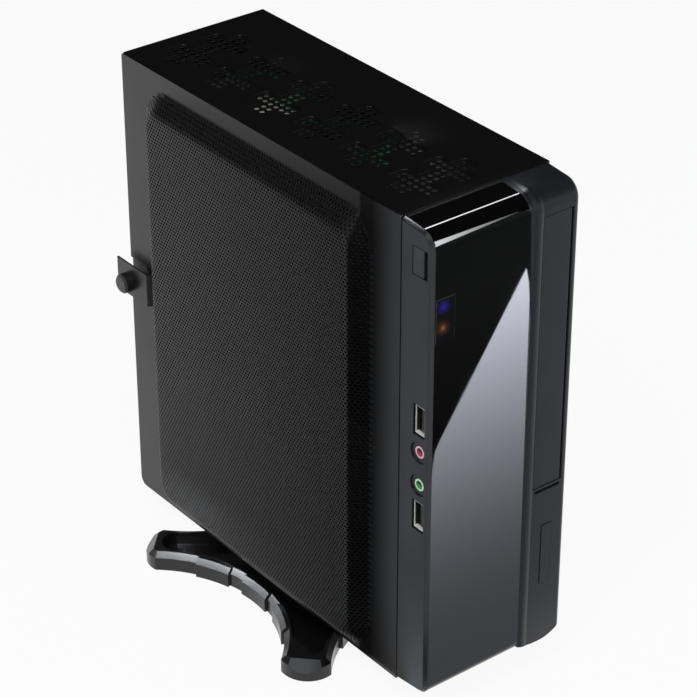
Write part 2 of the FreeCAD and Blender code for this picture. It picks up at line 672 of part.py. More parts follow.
piece(fuse("DcInlet", [inlet_case, inlet_pin]), "dc_inlet")
nut_spot = point(INLET[0], BACK + " - sheet - 2.2", INLET[2])
nut_ring = Part.makePolygon([nut_spot + FreeCAD.Vector(
    worked("inlet_radius + 3") * math.cos(math.radians(60 * turn)), 0,
    worked("inlet_radius + 3") * math.sin(math.radians(60 * turn))) for turn in range(7)])
nut_solid = Part.Face(nut_ring).extrude(FreeCAD.Vector(0, 2.2, 0)).cut(
    Part.makeCylinder(worked("inlet_radius + 0.05"), 4, nut_spot - AXIS["y"], AXIS["y"]))
piece(shaped("InletNut", nut_solid), "inlet_nut")


# Bezel: one moulding, hollow behind, its front and top in one bent outline

def bezel_face(inset, back):
    """The bezel's outline across X, moved inwards by inset, as far back as the given place."""
    left = worked(LEFT)
    front = worked(FACE) + inset
    low = worked(FLOOR)
    high = worked(ROOF)
    rise = SIZE["bezel_bottom_rise"]
    drop = SIZE["bezel_top_drop"]
    small = max(SIZE["bezel_bottom_radius"] - inset, 0.5)
    large = max(SIZE["bezel_top_radius"] - inset, 0.5)
    half = math.sqrt(0.5)
    bottom = low + rise + inset
    top = high - drop - inset
    corners = [FreeCAD.Vector(left, y, z) for y, z in (
        (back, low + inset), (front + small, bottom),
        (front + small * (1 - half), bottom + small * (1 - half)),
        (front, bottom + small), (front, top - large),
        (front + large * (1 - half), top - large * (1 - half)), (front + large, top), (back, high - inset))]
    a, b, c, d, e, f, g, k = corners
    edges = [Part.LineSegment(a, b).toShape(), Part.Arc(b, c, d).toShape(), Part.LineSegment(d, e).toShape(),
             Part.Arc(e, f, g).toShape(), Part.LineSegment(g, k).toShape(), Part.LineSegment(k, a).toShape()]
    return Part.Face(Part.Wire(edges))


def bezel_block(inset, back, x0, x1):
    """The outline drawn out from one place across the case to another."""
    form = bezel_face(inset, back).extrude(FreeCAD.Vector(x1 - x0, 0, 0))
    form.translate(FreeCAD.Vector(x0 - worked(LEFT), 0, 0))
    return form


def rim_edges(form, x):
    """The edges of a drawn outline at one end, without the one along the seam."""
    seam = worked(FRONT + " - bezel_gap")
    return [e for e in form.Edges if all(abs(v.X - x) < 0.01 for v in e.Vertexes)
            and not all(abs(v.Y - seam) < 0.01 for v in e.Vertexes)]


def gloss_form(depth, spread):
    """The gloss panel's space: the outer skin of the bezel, as deep as asked, widened by spread."""
    left = worked(LEFT)
    x0 = left + SIZE["gloss_left"] - spread
    x1 = left + SIZE["gloss_right"] + spread
    back = worked(FRONT + " - bezel_gap")
    skin = bezel_block(0 if spread == 0 else -1, back + 1, x0, x1)
    skin = skin.cut(bezel_block(depth, back + 2, x0 - 1, x1 + 1))
    limit = Part.makeBox(x1 - x0 + 2, 60, worked("case_height + 20"), FreeCAD.Vector(
        x0 - 1, worked(FRONT + " - bezel_gap - gloss_back_inset") + spread - 60,
        worked(FLOOR + " + bezel_bottom_rise + 1.4") - spread))
    start = worked(ROOF + " - gloss_taper_drop")
    stop = worked(ROOF) + 5
    lean = SIZE["gloss_taper"] * (stop - start) / SIZE["gloss_taper_drop"]
    side = Part.makePolygon([FreeCAD.Vector(x, back + 5, z) for x, z in (
        (x1, start), (x1 - lean, stop), (x1 + 5, stop), (x1 + 5, start), (x1, start))])
    return skin.common(limit).cut(Part.Face(side).extrude(FreeCAD.Vector(0, -40, 0)))


def band():
    """The low convex band beside the gloss panel, drawn up the front and over the top."""
    x0 = worked(LEFT + " + gloss_right + gloss_seat_gap")
    wide = SIZE["band_width"]
    crown = SIZE["band_crown"]
    z0 = worked(FLOOR + " + bezel_bottom_rise")
    front = worked(FACE)
    radius = SIZE["bezel_top_radius"]
    top = worked(ROOF + " - bezel_top_drop")
    a = FreeCAD.Vector(x0, front + 0.5, z0)
    b = FreeCAD.Vector(x0, front, z0)
    c = FreeCAD.Vector(x0 + wide / 2, front - crown, z0)
    d = FreeCAD.Vector(x0 + wide, front, z0)
    e = FreeCAD.Vector(x0 + wide, front + 0.5, z0)
    section = Part.Wire([Part.LineSegment(a, b).toShape(), Part.Arc(b, c, d).toShape(),
                         Part.LineSegment(d, e).toShape(), Part.LineSegment(e, a).toShape()])
    straight = Part.Face(section).extrude(FreeCAD.Vector(0, 0, top - radius - z0))
    upper = Part.Face(section)
    upper.translate(FreeCAD.Vector(0, 0, top - radius - z0))
    hub = FreeCAD.Vector(x0, front + radius, top - radius)
    bend = upper.revolve(hub, FreeCAD.Vector(-1, 0, 0), 90)
    upper.rotate(hub, FreeCAD.Vector(-1, 0, 0), 90)
    tail = upper.extrude(FreeCAD.Vector(0, worked(FRONT + " - bezel_gap") - front - radius,
                                        SIZE["bezel_top_drop"] - crown))
    return straight.fuse([bend, tail])


def toe_block():
    """The bezel's bottom right part, whose lower front edge is sharp where the rest is rounded."""
    seam = worked(FRONT + " - bezel_gap")
    low = worked(FLOOR)
    start = worked(LEFT + " + gloss_right + gloss_seat_gap")
    face = worked(FACE)
    high = low + SIZE["toe_height"]
    side = Part.makePolygon([FreeCAD.Vector(start, y, z) for y, z in (
        (seam, low), (face, low + SIZE["bezel_bottom_rise"]), (face, high), (seam, high), (seam, low))])
    form = Part.Face(side).extrude(FreeCAD.Vector(worked(RIGHT) - start, 0, 0))
    upright = [e for e in form.Edges if all(abs(v.X - worked(RIGHT)) < 0.01 and abs(v.Y - face) < 0.01
                                            for v in e.Vertexes)]
    return form.makeFillet(SIZE["bezel_right_radius"], upright)


def toe_cut(lift):
    """What lies under the toe's curved lower edge; the curve fades out toward the seam."""
    x0 = worked(LEFT + " + gloss_right + gloss_seat_gap")
    x1 = worked(LEFT + " + toe_peak")
    x2 = worked(RIGHT)
    front = worked(FACE + " - band_crown") - 0.5
    seam = worked(FRONT + " - bezel_gap") + 0.5
    low = worked(FLOOR)
    rise = SIZE["bezel_bottom_rise"]
    wires = []
    for y, base, share in ((front, low + rise * 1.03, 1.0), (seam, low - 0.05, 0.02)):
        left = SIZE["toe_left_rise"] * share
        right = SIZE["toe_right_rise"] * share
        spots = [FreeCAD.Vector(x, y, base + lift + up) for x, up in (
            (x0, left), ((x0 + x1) / 2, left * 0.25), (x1, 0), ((x1 + x2) / 2, right * 0.24), (x2, right))]
        after = FreeCAD.Vector(x2 + 3, y, base + lift + right * 1.8)
        under = [FreeCAD.Vector(x2 + 3, y, low - 8), FreeCAD.Vector(x0, y, low - 8)]
        wires.append(Part.Wire([
            Part.Arc(spots[0], spots[1], spots[2]).toShape(),
            Part.Arc(spots[2], spots[3], spots[4]).toShape(),
            Part.LineSegment(spots[4], after).toShape(), Part.LineSegment(after, under[0]).toShape(),
            Part.LineSegment(*under).toShape(), Part.LineSegment(under[1], spots[0]).toShape()]))
    return Part.makeLoft(wires, True, True)


def bezel_body():
    left = worked(LEFT)
    right = worked(RIGHT)
    seam = worked(FRONT + " - bezel_gap")
    wall = SIZE["bezel_wall"]
    form = bezel_block(0, seam, left, right)
    form = form.makeChamfer(SIZE["bezel_left_bevel"], rim_edges(form, left))
    form = form.makeFillet(SIZE["bezel_right_radius"], rim_edges(form, right))
    form = form.fuse([toe_block(), band()]).cut(toe_cut(0))
    hollow = bezel_block(wall, seam + 5, left + wall, right - wall)
    form = form.cut(hollow.cut(toe_cut(wall)))
    return form.cut(gloss_form(SIZE["gloss_thickness"] + SIZE["gloss_seat_gap"], SIZE["gloss_seat_gap"]))


bezel_shell = shaped("BezelShell", bezel_body())
POST_X = LEFT + " + 25"
POST_HEIGHTS = [FLOOR + " + port_board_bottom + 8", ROOF + " - power_drop - 52", ROOF + " - power_drop - 4"]
POST_SPOTS = [point(POST_X, PORT_BOARD, height) for height in POST_HEIGHTS]
posts = [rod("Post%d" % index, (POST_X, FACE + " + bezel_wall - 0.2", height), "2.8",
             PORT_BOARD + " - (" + FACE + " + bezel_wall - 0.2)", "y")
         for index, height in enumerate(POST_HEIGHTS)]
post_bores = drilled("PostBores", [spot - AXIS["y"] * 5 for spot in POST_SPOTS],
                     "small_screw_radius + 0.05", "6", "y")
feet = []
for side, x0, x1 in (("Left", LEFT + " + bezel_wall - 0.2", LEFT + " + 4.6"),
                     ("Right", RIGHT + " - 4.6", RIGHT + " - bezel_wall + 0.2")):
    for level in ("20", "150"):
        feet.append(block("%sFoot%s" % (side, level), (x0, FRONT + " - 7", FLOOR + " + " + level),
                          (x1, FRONT, FLOOR + " + 6 + " + level)))
DOOR_AXIS_X = LEFT + " + door_left + door_width - door_thickness / 2"
DOOR_FACE = FACE + " + 0.2"
DOOR_AXIS_Y = DOOR_FACE + " + door_thickness / 2"
DOOR_LOW = FLOOR + " + door_bottom"
DOOR_HIGH = FLOOR + " + door_bottom + door_height"
door_hole = block("DoorHole", (LEFT + " + door_left - door_gap", FACE + " - 1", DOOR_LOW + " - door_gap"),
                  (LEFT + " + door_left + door_width + door_gap", FACE + " + bezel_wall + 1",
                   DOOR_HIGH + " + door_gap"))
pin_holes = rod("PinHoles", (DOOR_AXIS_X, DOOR_AXIS_Y, DOOR_LOW + " - door_pin_length - 0.1"),
                "door_pin_radius + pin_clearance", "door_height + door_pin_length * 2 + 0.2", "z")
notch = block("DoorNotch", (LEFT + " + door_left + 0.8", FACE + " - 1",
                            DOOR_LOW + " - notch_drop - notch_height"),
              (LEFT + " + door_left + door_width - 0.8", FACE + " + notch_depth",
               DOOR_LOW + " - notch_drop"))
eject_hole = block("EjectHole", (LEFT + " + eject_left - button_gap", FACE + " - 1",
                                 FLOOR + " + eject_bottom - button_gap"),
                   (LEFT + " + eject_left + eject_width + button_gap", FACE + " + bezel_wall + 1",
                    FLOOR + " + eject_bottom + eject_height + button_gap"))
power_hole = block("PowerHole", (LEFT + " - 1", FRONT + " - power_front", ROOF + " - power_drop"),
                   (LEFT + " + bezel_wall + 1", FRONT + " - power_front + power_length",
                    ROOF + " - power_drop + power_height"))
window_hole = block("WindowHole", (LEFT + " + led_window_left + led_window_lip", FACE,
                                   ROOF + " - led_window_drop + led_window_lip"),
                    (LEFT + " + led_window_left + led_window_width - led_window_lip",
                     FACE + " + bezel_wall + 1",
                     ROOF + " - led_window_drop + led_window_height - led_window_lip"))


def usb_box(name, height, grow, depth):
    return block(name, (LEFT + " - 1", PORT_LINE + " - usb_short / 2 - " + grow,
                        FLOOR + " + %s - usb_long / 2 - " % height + grow),
                 (LEFT + " + " + depth, PORT_LINE + " + usb_short / 2 + " + grow,
                  FLOOR + " + %s + usb_long / 2 + " % height + grow))


USB = (("upper", "usb_upper_height"), ("lower", "usb_lower_height"))
JACKS = (("mic", "mic_height"), ("headphone", "headphone_height"))
port_cuts = [usb_box("Usb%sHole" % name.title(), height, "0.6", "bezel_wall + 1") for name, height in USB]
for name, height in JACKS:
    centre = (LEFT + " - 1", PORT_LINE, FLOOR + " + " + height)
    port_cuts.append(rod(name.title() + "Hole", centre, "jack_nose_radius + 0.3", "bezel_wall + 2", "x"))
    port_cuts.append(rod(name.title() + "Dish", centre, "dish_radius", "1 + dish_depth", "x"))
bezel_whole = fuse("BezelWhole", [bezel_shell] + posts + feet)
bezel_cuts = [door_hole, pin_holes, notch, eject_hole, power_hole, window_hole, post_bores]
piece(cut("BezelBody", bezel_whole, bezel_cuts + port_cuts), "bezel_body")

# Gloss panel, and the smoked window let into it

gloss_skin = shaped("GlossSkin", gloss_form(SIZE["gloss_thickness"], 0))
gloss_hole = block("GlossHole", (LEFT + " + led_window_left", FACE + " - 1", ROOF + " - led_window_drop"),
                   (LEFT + " + led_window_left + led_window_width", FACE + " + gloss_thickness + 1",
                    ROOF + " - led_window_drop + led_window_height"))
piece(cut("GlossPanel", gloss_skin, [gloss_hole]), "gloss_panel")
piece(block("LedWindow", (LEFT + " + led_window_left + 0.05", FACE + " + 0.05",
                          ROOF + " - led_window_drop + 0.05"),
            (LEFT + " + led_window_left + led_window_width - 0.05", FACE + " + gloss_thickness",
             ROOF + " - led_window_drop + led_window_height - 0.05")), "led_window")

# Drive door: a plate whose right edge is rounded about its own pivot pins

door_plate = block("DoorPlate", (LEFT + " + door_left", DOOR_FACE, DOOR_LOW),
                   (DOOR_AXIS_X, DOOR_FACE + " + door_thickness", DOOR_HIGH))
door_roll = rod("DoorRoll", (DOOR_AXIS_X, DOOR_AXIS_Y, DOOR_LOW), "door_thickness / 2", "door_height", "z")
door_pins = rod("DoorPins", (DOOR_AXIS_X, DOOR_AXIS_Y, DOOR_LOW + " - door_pin_length"), "door_pin_radius",
                "door_height + door_pin_length * 2", "z")
piece(fuse("DriveDoor", [door_plate, door_roll, door_pins]), "drive_door")

# Eject button and power button, each with a flange that stops it behind the wall

eject_face = block("EjectFace", (LEFT + " + eject_left", FACE + " - 0.2", FLOOR + " + eject_bottom"),
                   (LEFT + " + eject_left + eject_width", FACE + " + eject_depth",
                    FLOOR + " + eject_bottom + eject_height"))
eject_stop = block("EjectStop", (LEFT + " + eject_left - 1.2", FACE + " + bezel_wall + button_stop_gap",
                                 FLOOR + " + eject_bottom - 1.2"),
                   (LEFT + " + eject_left + eject_width + 1.2", FACE + " + bezel_wall + 1.5",
                    FLOOR + " + eject_bottom + eject_height + 1.2"))
piece(fuse("EjectButton", [eject_face, eject_stop]), "eject_button")
POWER_BACK = FRONT + " - power_front + power_length - button_gap"
power_face = block("PowerFace", (LEFT + " + 0.1", POWER_BACK + " - power_face_length",
                                 ROOF + " - power_drop + button_gap"),
                   (LEFT + " + power_depth", POWER_BACK,
                    ROOF + " - power_drop + power_height - button_gap"))
power_stop = block("PowerStop", (LEFT + " + bezel_wall + button_stop_gap", FRONT + " - power_front - 0.2",
                                 ROOF + " - power_drop - 1"),
                   (LEFT + " + bezel_wall + 1.5", POWER_BACK + " + 1",
                    ROOF + " - power_drop + power_height + 1"))
SWITCH_HEIGHT = ROOF + " - power_drop + power_height / 2"
SWITCH_Y = POWER_BACK + " - power_face_length / 2"
SWITCH_LEFT = LEFT + " + power_depth + power_post + power_travel + 0.9"
power_post = rod("PowerPost", (LEFT + " + power_depth - 0.5", SWITCH_Y, SWITCH_HEIGHT), "1.6",
                 "power_post + 0.5", "x")
piece(fuse("PowerButton", [power_face, power_stop, power_post]), "power_button")

# Front board and what is soldered to it

board_plate = block("FrontBoardPlate",
                    (LEFT + " + bezel_wall + 0.4", PORT_BOARD, FLOOR + " + port_board_bottom"),
                    (LEFT + " + bezel_wall + 0.4 + port_board_width", PORT_BOARD + " + port_board_thickness",
                     ROOF + " - power_drop + power_height - 2"))
board_step = block("FrontBoardStep", (LEFT + " + bezel_wall", PORT_BOARD + " - 1",
                                      ROOF + " - power_drop - 2"),
                   (SWITCH_LEFT, PORT_BOARD + " + port_board_thickness + 1",
                    ROOF + " - power_drop + power_height"))
board_holes = drilled("FrontBoardHoles", [spot - AXIS["y"] for spot in POST_SPOTS],
                      "small_screw_radius + 0.1", "4", "y")
piece(cut("FrontBoard", board_plate, [board_step, board_holes]), "front_board")
switch_case = block("SwitchCase", (SWITCH_LEFT, PORT_BOARD + " - 6", SWITCH_HEIGHT + " - 3"),
                    (SWITCH_LEFT + " + 6", PORT_BOARD, SWITCH_HEIGHT + " + 3"))
switch_tip = rod("SwitchTip", (SWITCH_LEFT + " - 0.6", SWITCH_Y, SWITCH_HEIGHT), "1", "1", "x")
piece(fuse("PowerSwitch", [switch_case, switch_tip]), "power_switch")
for name, height in USB:
    shell_low = (LEFT + " + port_set_in", PORT_LINE + " - usb_short / 2",
                 FLOOR + " + %s - usb_long / 2" % height)
    shell_high = (LEFT + " + port_set_in + usb_depth", PORT_LINE + " + usb_short / 2",
                  FLOOR + " + %s + usb_long / 2" % height)
    shell = block("Usb%sShell" % name.title(), shell_low, shell_high)
    hollow = block("Usb%sHollow" % name.title(),
                   (LEFT, shell_low[1] + " + usb_shell_wall", shell_low[2] + " + usb_shell_wall"),
                   (LEFT + " + port_set_in + usb_depth - usb_shell_wall",
                    shell_high[1] + " - usb_shell_wall", shell_high[2] + " - usb_shell_wall"))
    piece(cut("Usb%s" % name.title(), shell, [hollow]), "usb_shell_" + name)
    piece(block("Usb%sTongue" % name.title(),
                (LEFT + " + port_set_in + 1.2", PORT_LINE + " - usb_tongue_thickness + 0.3",
                 shell_low[2] + " + usb_shell_wall + 0.7"),
                (LEFT + " + port_set_in + usb_depth - usb_shell_wall", PORT_LINE + " + 0.3",
                 shell_high[2] + " - usb_shell_wall - 0.7")), "usb_tongue_" + name)
for name, height in JACKS:
    title = name.title()
    middle = FLOOR + " + " + height
    nose = rod(title + "Nose", (LEFT + " + dish_depth", PORT_LINE, middle), "jack_nose_radius",
               "bezel_wall + 1", "x")
    case = block(title + "Case", (LEFT + " + bezel_wall + 0.4", PORT_LINE + " - usb_short / 2",
                                  middle + " - jack_body / 2"),
                 (LEFT + " + bezel_wall + 0.4 + jack_depth", PORT_BOARD, middle + " + jack_body / 2"))
    bore = rod(title + "Bore", (LEFT + " - 1", PORT_LINE, middle), "jack_bore_radius", "jack_depth", "x")
    piece(cut(title + "Jack", fuse(title + "Solid", [nose, case]), [bore]), name + "_jack")
for name, drop in (("power", "power_led_drop"), ("disk", "disk_led_drop")):
    title = name.title()
    x = LEFT + " + led_across"
    level = ROOF + " - " + drop
    stem = rod(title + "LedStem", (x, PORT_BOARD + " - led_length + led_radius", level),
               "led_radius", "led_length - led_radius", "y")
    dome = doc.addObject("Part::Sphere", title + "LedDome")
    dome.setExpression("Radius", bound("led_radius"))
    place(dome, (x, PORT_BOARD + " - led_length + led_radius", level))
    piece(fuse(title + "Led", [stem, dome]), name + "_led")
HEADER_X = LEFT + " + bezel_wall + 0.4 + port_board_width - 9"
headers = [block("Header%d" % index,
                 (HEADER_X, PORT_BOARD + " + port_board_thickness", FLOOR + " + " + height),
                 (HEADER_X + " + 6", PORT_BOARD + " + port_board_thickness + 6",
                  FLOOR + " + " + height + " + 14"))
           for index, height in enumerate(("port_board_bottom + 20", "port_board_bottom + 40"))]
piece(bundle("LeadSockets", headers), "lead_sockets")


# Stand: an X with four hollow arms, raised bands along the waists, and a saddle under the case

def waist_circle():
    """Radius of the waist's arc, from its depth and its chord between two tips."""
    along = worked("stand_tip - stand_tip_bulge") * math.sqrt(0.5)
    side = SIZE["stand_tip_half_width"] * math.sqrt(0.5)
    tip_x = along + side
    tip_y = along - side
    rise = tip_x - SIZE["stand_waist"]
    radius = (tip_y ** 2 + rise ** 2) / (2 * rise)
    return tip_x, tip_y, radius


def stand_outline(inset, tip_inset, z):
    """The X outline: four hollow waists and four rounded tips, each moved in by its own inset."""
    tip_x, tip_y, radius = waist_circle()
    centre = SIZE["stand_waist"] + radius
    bow = radius + inset
    half = SIZE["stand_tip_half_width"]
    bulge_out = SIZE["stand_tip_bulge"]
    tip_radius = (half ** 2 + bulge_out ** 2) / (2 * bulge_out)
    tip_centre = SIZE["stand_tip"] - tip_radius
    small = tip_radius - tip_inset
    middle = FreeCAD.Vector(tip_centre * math.sqrt(0.5), tip_centre * math.sqrt(0.5), 0)
    hub = FreeCAD.Vector(centre, 0, 0)
    gap = middle.sub(hub).Length
    along = (bow ** 2 - small ** 2 + gap ** 2) / (2 * gap)
    off = math.sqrt(max(bow ** 2 - along ** 2, 0))
    line = middle.sub(hub).normalize()
    side = FreeCAD.Vector(line.y, -line.x, 0)
    corner = hub + line * along + side * off
    edges = []
    for quarter in range(4):
        turn = FreeCAD.Rotation(AXIS["z"], 90 * quarter)
        start = FreeCAD.Vector(corner.x, -corner.y, z)
        deep = FreeCAD.Vector(centre - bow, 0, z)
        end = FreeCAD.Vector(corner.x, corner.y, z)
        tip = FreeCAD.Vector((tip_centre + small) * math.sqrt(0.5), (tip_centre + small) * math.sqrt(0.5), z)
        far = FreeCAD.Vector(corner.y, corner.x, z)
        edges.append(Part.Arc(*[turn.multVec(spot) for spot in (start, deep, end)]).toShape())
        edges.append(Part.Arc(*[turn.multVec(spot) for spot in (end, tip, far)]).toShape())
    return Part.Wire(edges)


def waist_band(low, high):
    """A raised band along a waist, between two distances along it, for all four sides."""
    tip_x, tip_y, radius = waist_circle()
    centre = SIZE["stand_waist"] + radius
    step = SIZE["band_step"]
    rim = SIZE["stand_rim"]
    bevel = SIZE["stand_bevel"]
    made = []
    a0 = math.asin(low / radius)
    a1 = math.asin(high / radius)
    profile = Part.makePolygon([FreeCAD.Vector(centre - reach, 0, z) for reach, z in (
        (radius + 3.2, 0.3), (radius - step, 0.3), (radius - step, rim - bevel),
        (radius + bevel - step, rim), (radius + 3.2, rim), (radius + 3.2, 0.3))])
    face = Part.Face(profile)
    face.rotate(FreeCAD.Vector(centre, 0, 0), AXIS["z"], -math.degrees(a1))
    solid = face.revolve(FreeCAD.Vector(centre, 0, 0), AXIS["z"], math.degrees(a1 - a0))
    for quarter in range(4):
        copy = solid.copy()
        copy.rotate(FreeCAD.Vector(0, 0, 0), AXIS["z"], 90 * quarter)
        made.append(copy)
    return made


def stand():
    rim = SIZE["stand_rim"]
    bevel = SIZE["stand_bevel"]
    low = SIZE["pad_proud"]
    solid = Part.Face(stand_outline(0, 0, low)).extrude(FreeCAD.Vector(0, 0, rim - bevel - low))
    slope = Part.makeLoft([stand_outline(0, 0, rim - bevel), stand_outline(bevel, bevel, rim)], True, True)
    solid = solid.fuse([slope] + [band for start, end in (
        (-SIZE["middle_band"] / 2, SIZE["middle_band"] / 2),
        (SIZE["outer_band_start"], SIZE["outer_band_end"]),
        (-SIZE["outer_band_end"], -SIZE["outer_band_start"])) for band in waist_band(start, end)])
    wall = SIZE["stand_wall"]
    trough = stand_outline(wall, wall + SIZE["stand_tip_hollow"], SIZE["stand_floor"])
    solid = solid.cut(Part.Face(trough).extrude(FreeCAD.Vector(0, 0, rim)))
    tip = SIZE["stand_tip"]
    steep = SIZE["stand_tip_bevel"]
    wedge = Part.makePolygon([FreeCAD.Vector(reach, -20, z) for reach, z in (
        (tip - steep, rim + 0.5), (tip + 1, rim - steep * 1.2), (tip + 1, rim + 0.5),
        (tip - steep, rim + 0.5))])
    side = SIZE["stand_saddle"]
    saddle = Part.makeBox(side, side, worked(FLOOR) - low, FreeCAD.Vector(-side / 2, -side / 2, low))
    saddle = saddle.makeFillet(5, [e for e in saddle.Edges if abs(e.Length - worked(FLOOR) + low) < 0.01])
    under = Part.makeBox(side - 6, side - 6, worked(FLOOR + " - stand_top"),
                         FreeCAD.Vector(3 - side / 2, 3 - side / 2, 0))
    solid = solid.fuse(saddle).cut(under)
    for quarter in range(4):
        corner = Part.Face(wedge).extrude(FreeCAD.Vector(0, 40, 0))
        corner.rotate(FreeCAD.Vector(0, 0, 0), AXIS["z"], 45 + 90 * quarter)
        solid = solid.cut(corner)
    solid = solid.removeSplitter()
    solid.translate(FreeCAD.Vector(0, worked(MIDDLE), 0))
    return solid


def pad_spots():
    reach = SIZE["pad_spread"] * math.sqrt(0.5)
    return [FreeCAD.Vector(x * reach, worked(MIDDLE) + y * reach, 0) for x in (-1, 1) for y in (-1, 1)]


pad_holes = drilled("PadHoles", pad_spots(), "pad_radius + 0.1", "pad_thickness", "z")
stand_holes = drilled("StandScrewHoles", [spot - AXIS["z"] for spot in STAND_SPOTS],
                      "screw_radius + 0.1", "stand_top + 2", "z")
piece(cut("Stand", shaped("StandForm", stand()), [pad_holes, stand_holes]), "stand")
piece(drilled("StandPads", pad_spots(), "pad_radius", "pad_thickness", "z"), "stand_pads")

# Screws

screws("bracket_screws", BRACKET_SPOTS, "screw_length", "screw_radius", AXIS["x"])
screws("tray_screws", TRAY_SPOTS, "screw_length", "screw_radius", AXIS["z"] * -1)
screws("rear_screws", REAR_SPOTS, "screw_length", "screw_radius", AXIS["y"])
screws("stand_screws", STAND_SPOTS, "screw_length + stand_top - 1", "screw_radius", AXIS["z"] * -1)
screws("front_board_screws", [spot + AXIS["y"] * SIZE["port_board_thickness"] for spot in POST_SPOTS],
       "screw_length", "small_screw_radius", AXIS["y"])
screws("power_board_screws", [spot - AXIS["x"] * SIZE["board_thickness"] for spot in POWER_SPOTS],
       "screw_length", "small_screw_radius", AXIS["x"] * -1)

# Checks, then one file for each piece

doc.recompute()
for item in doc.Objects:
    wrong = [state for state in item.State if state in ("Invalid", "Error")]
    if wrong:
        raise RuntimeError("%s: %s" % (item.Name, wrong))
for item in pieces:
    if item.Shape.isNull() or not item.Shape.isValid() or not item.Shape.Solids:
        raise RuntimeError("%s has no sound shape" % item.Label)
os.makedirs("parts", exist_ok=True)
for item in pieces:
    item.Shape.exportStep(os.path.join("parts", item.Label + ".step"))
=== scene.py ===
"""Looks of the slim upright computer case, built around its fixed CAD frame.

Metres. X runs to the right seen from the front, Y to the back, Z is up.
"""

import json
import math

import bmesh
import bpy
from bpy.props import FloatProperty, FloatVectorProperty, PointerProperty
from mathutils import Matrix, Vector


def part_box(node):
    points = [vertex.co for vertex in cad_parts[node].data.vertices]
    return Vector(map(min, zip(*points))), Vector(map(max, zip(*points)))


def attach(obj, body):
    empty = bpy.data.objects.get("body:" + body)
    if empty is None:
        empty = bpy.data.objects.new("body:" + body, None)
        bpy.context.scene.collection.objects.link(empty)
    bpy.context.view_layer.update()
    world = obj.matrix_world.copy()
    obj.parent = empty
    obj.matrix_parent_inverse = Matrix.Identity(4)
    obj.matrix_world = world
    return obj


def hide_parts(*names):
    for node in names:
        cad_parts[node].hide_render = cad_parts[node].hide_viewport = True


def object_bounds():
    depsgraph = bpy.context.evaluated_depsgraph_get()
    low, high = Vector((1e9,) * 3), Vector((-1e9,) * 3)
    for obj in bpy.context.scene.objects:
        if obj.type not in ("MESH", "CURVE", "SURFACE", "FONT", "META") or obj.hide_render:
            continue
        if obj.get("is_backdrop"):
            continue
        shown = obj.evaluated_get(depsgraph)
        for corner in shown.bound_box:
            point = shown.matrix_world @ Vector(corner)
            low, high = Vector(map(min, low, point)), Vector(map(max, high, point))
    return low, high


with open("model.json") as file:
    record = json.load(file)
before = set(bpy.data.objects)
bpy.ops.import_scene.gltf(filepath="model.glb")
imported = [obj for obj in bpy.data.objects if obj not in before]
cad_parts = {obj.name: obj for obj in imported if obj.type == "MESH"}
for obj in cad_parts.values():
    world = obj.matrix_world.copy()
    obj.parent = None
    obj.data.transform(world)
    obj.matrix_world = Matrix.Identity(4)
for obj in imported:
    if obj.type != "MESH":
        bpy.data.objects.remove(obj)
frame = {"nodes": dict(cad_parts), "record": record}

bl_info = {
    "name": "PC Case Looks",
    "version": (1, 0, 0),
    "blender": (4, 5, 0),
    "location": "View3D > Sidebar > PC Case",
    "description": "Finishes, fine mesh and studio for the slim computer case",
    "category": "Object",
}

BODY = "case"


# Sizes that the sidebar shows

class MeshPanelSizes(bpy.types.PropertyGroup):
    """The raised perforated part of the left side panel"""

    pitch: FloatProperty(name="Hole Pitch", description="Distance between holes along the depth",
                         default=0.00175, unit="LENGTH")
    hole_radius: FloatProperty(name="Hole Radius", description="Radius of one hole",
                               default=0.00062, unit="LENGTH")
    height: FloatProperty(name="Bulge Height", description="How far the bulge stands out",
                          default=0.007, unit="LENGTH")
    slope: FloatProperty(name="Bulge Slope", description="Width of the slanted wall",
                         default=0.008, unit="LENGTH")
    corner: FloatProperty(name="Foot Corner", description="Corner radius at the bulge's foot",
                          default=0.016, unit="LENGTH")
    front: FloatProperty(name="Front Margin", description="From the panel's front edge to the bulge",
                         default=0.0178, unit="LENGTH")
    back: FloatProperty(name="Back Margin", description="From the sheet's back edge to the bulge",
                        default=0.0185, unit="LENGTH")
    top: FloatProperty(name="Top Margin", description="From the panel's top edge to the bulge",
                       default=0.008, unit="LENGTH")
    bottom: FloatProperty(name="Bottom Margin", description="From the panel's bottom edge to the bulge",
                          default=0.002, unit="LENGTH")
    overhang: FloatProperty(name="Strap Overhang",
                            description="How far the strap passes the sheet's back edge",
                            default=0.004, unit="LENGTH")
    strap_low: FloatProperty(name="Strap Bottom", description="Height of the strap's lower edge",
                             default=0.1196, unit="LENGTH")
    strap_high: FloatProperty(name="Strap Top", description="Height of the strap's upper edge",
                              default=0.1356, unit="LENGTH")
    strap_front: FloatProperty(name="Strap Front", description="Where the strap leaves the sheet",
                               default=0.0804, unit="LENGTH")
    thickness: FloatProperty(name="Sheet Thickness", description="Depth of each hole",
                             default=0.0008, unit="LENGTH")


class StageSizes(bpy.types.PropertyGroup):
    """Camera, lamps and reflection cards"""

    eye: FloatVectorProperty(name="Camera", description="Place of the camera", size=3,
                             default=(-0.6037, -0.77435, 0.7071), subtype="XYZ")
    lens: FloatProperty(name="Lens", description="Focal length in millimetres", default=135.97)
    azimuth: FloatProperty(name="Azimuth", description="Turn of the view about Z",
                           default=math.radians(38.19), subtype="ANGLE")
    elevation: FloatProperty(name="Elevation", description="How far the view looks down",
                             default=math.radians(30.81), subtype="ANGLE")
    key_power: FloatProperty(name="Key Lamp", description="Power of the key softbox", default=9.0)
    floor_size: FloatProperty(name="Floor Size", description="Side of the floor", default=6.0, unit="LENGTH")


# Small helpers

def spot(node):
    """Lowest and highest corner of a CAD node."""
    low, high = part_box(node)
    return Vector(low), Vector(high)


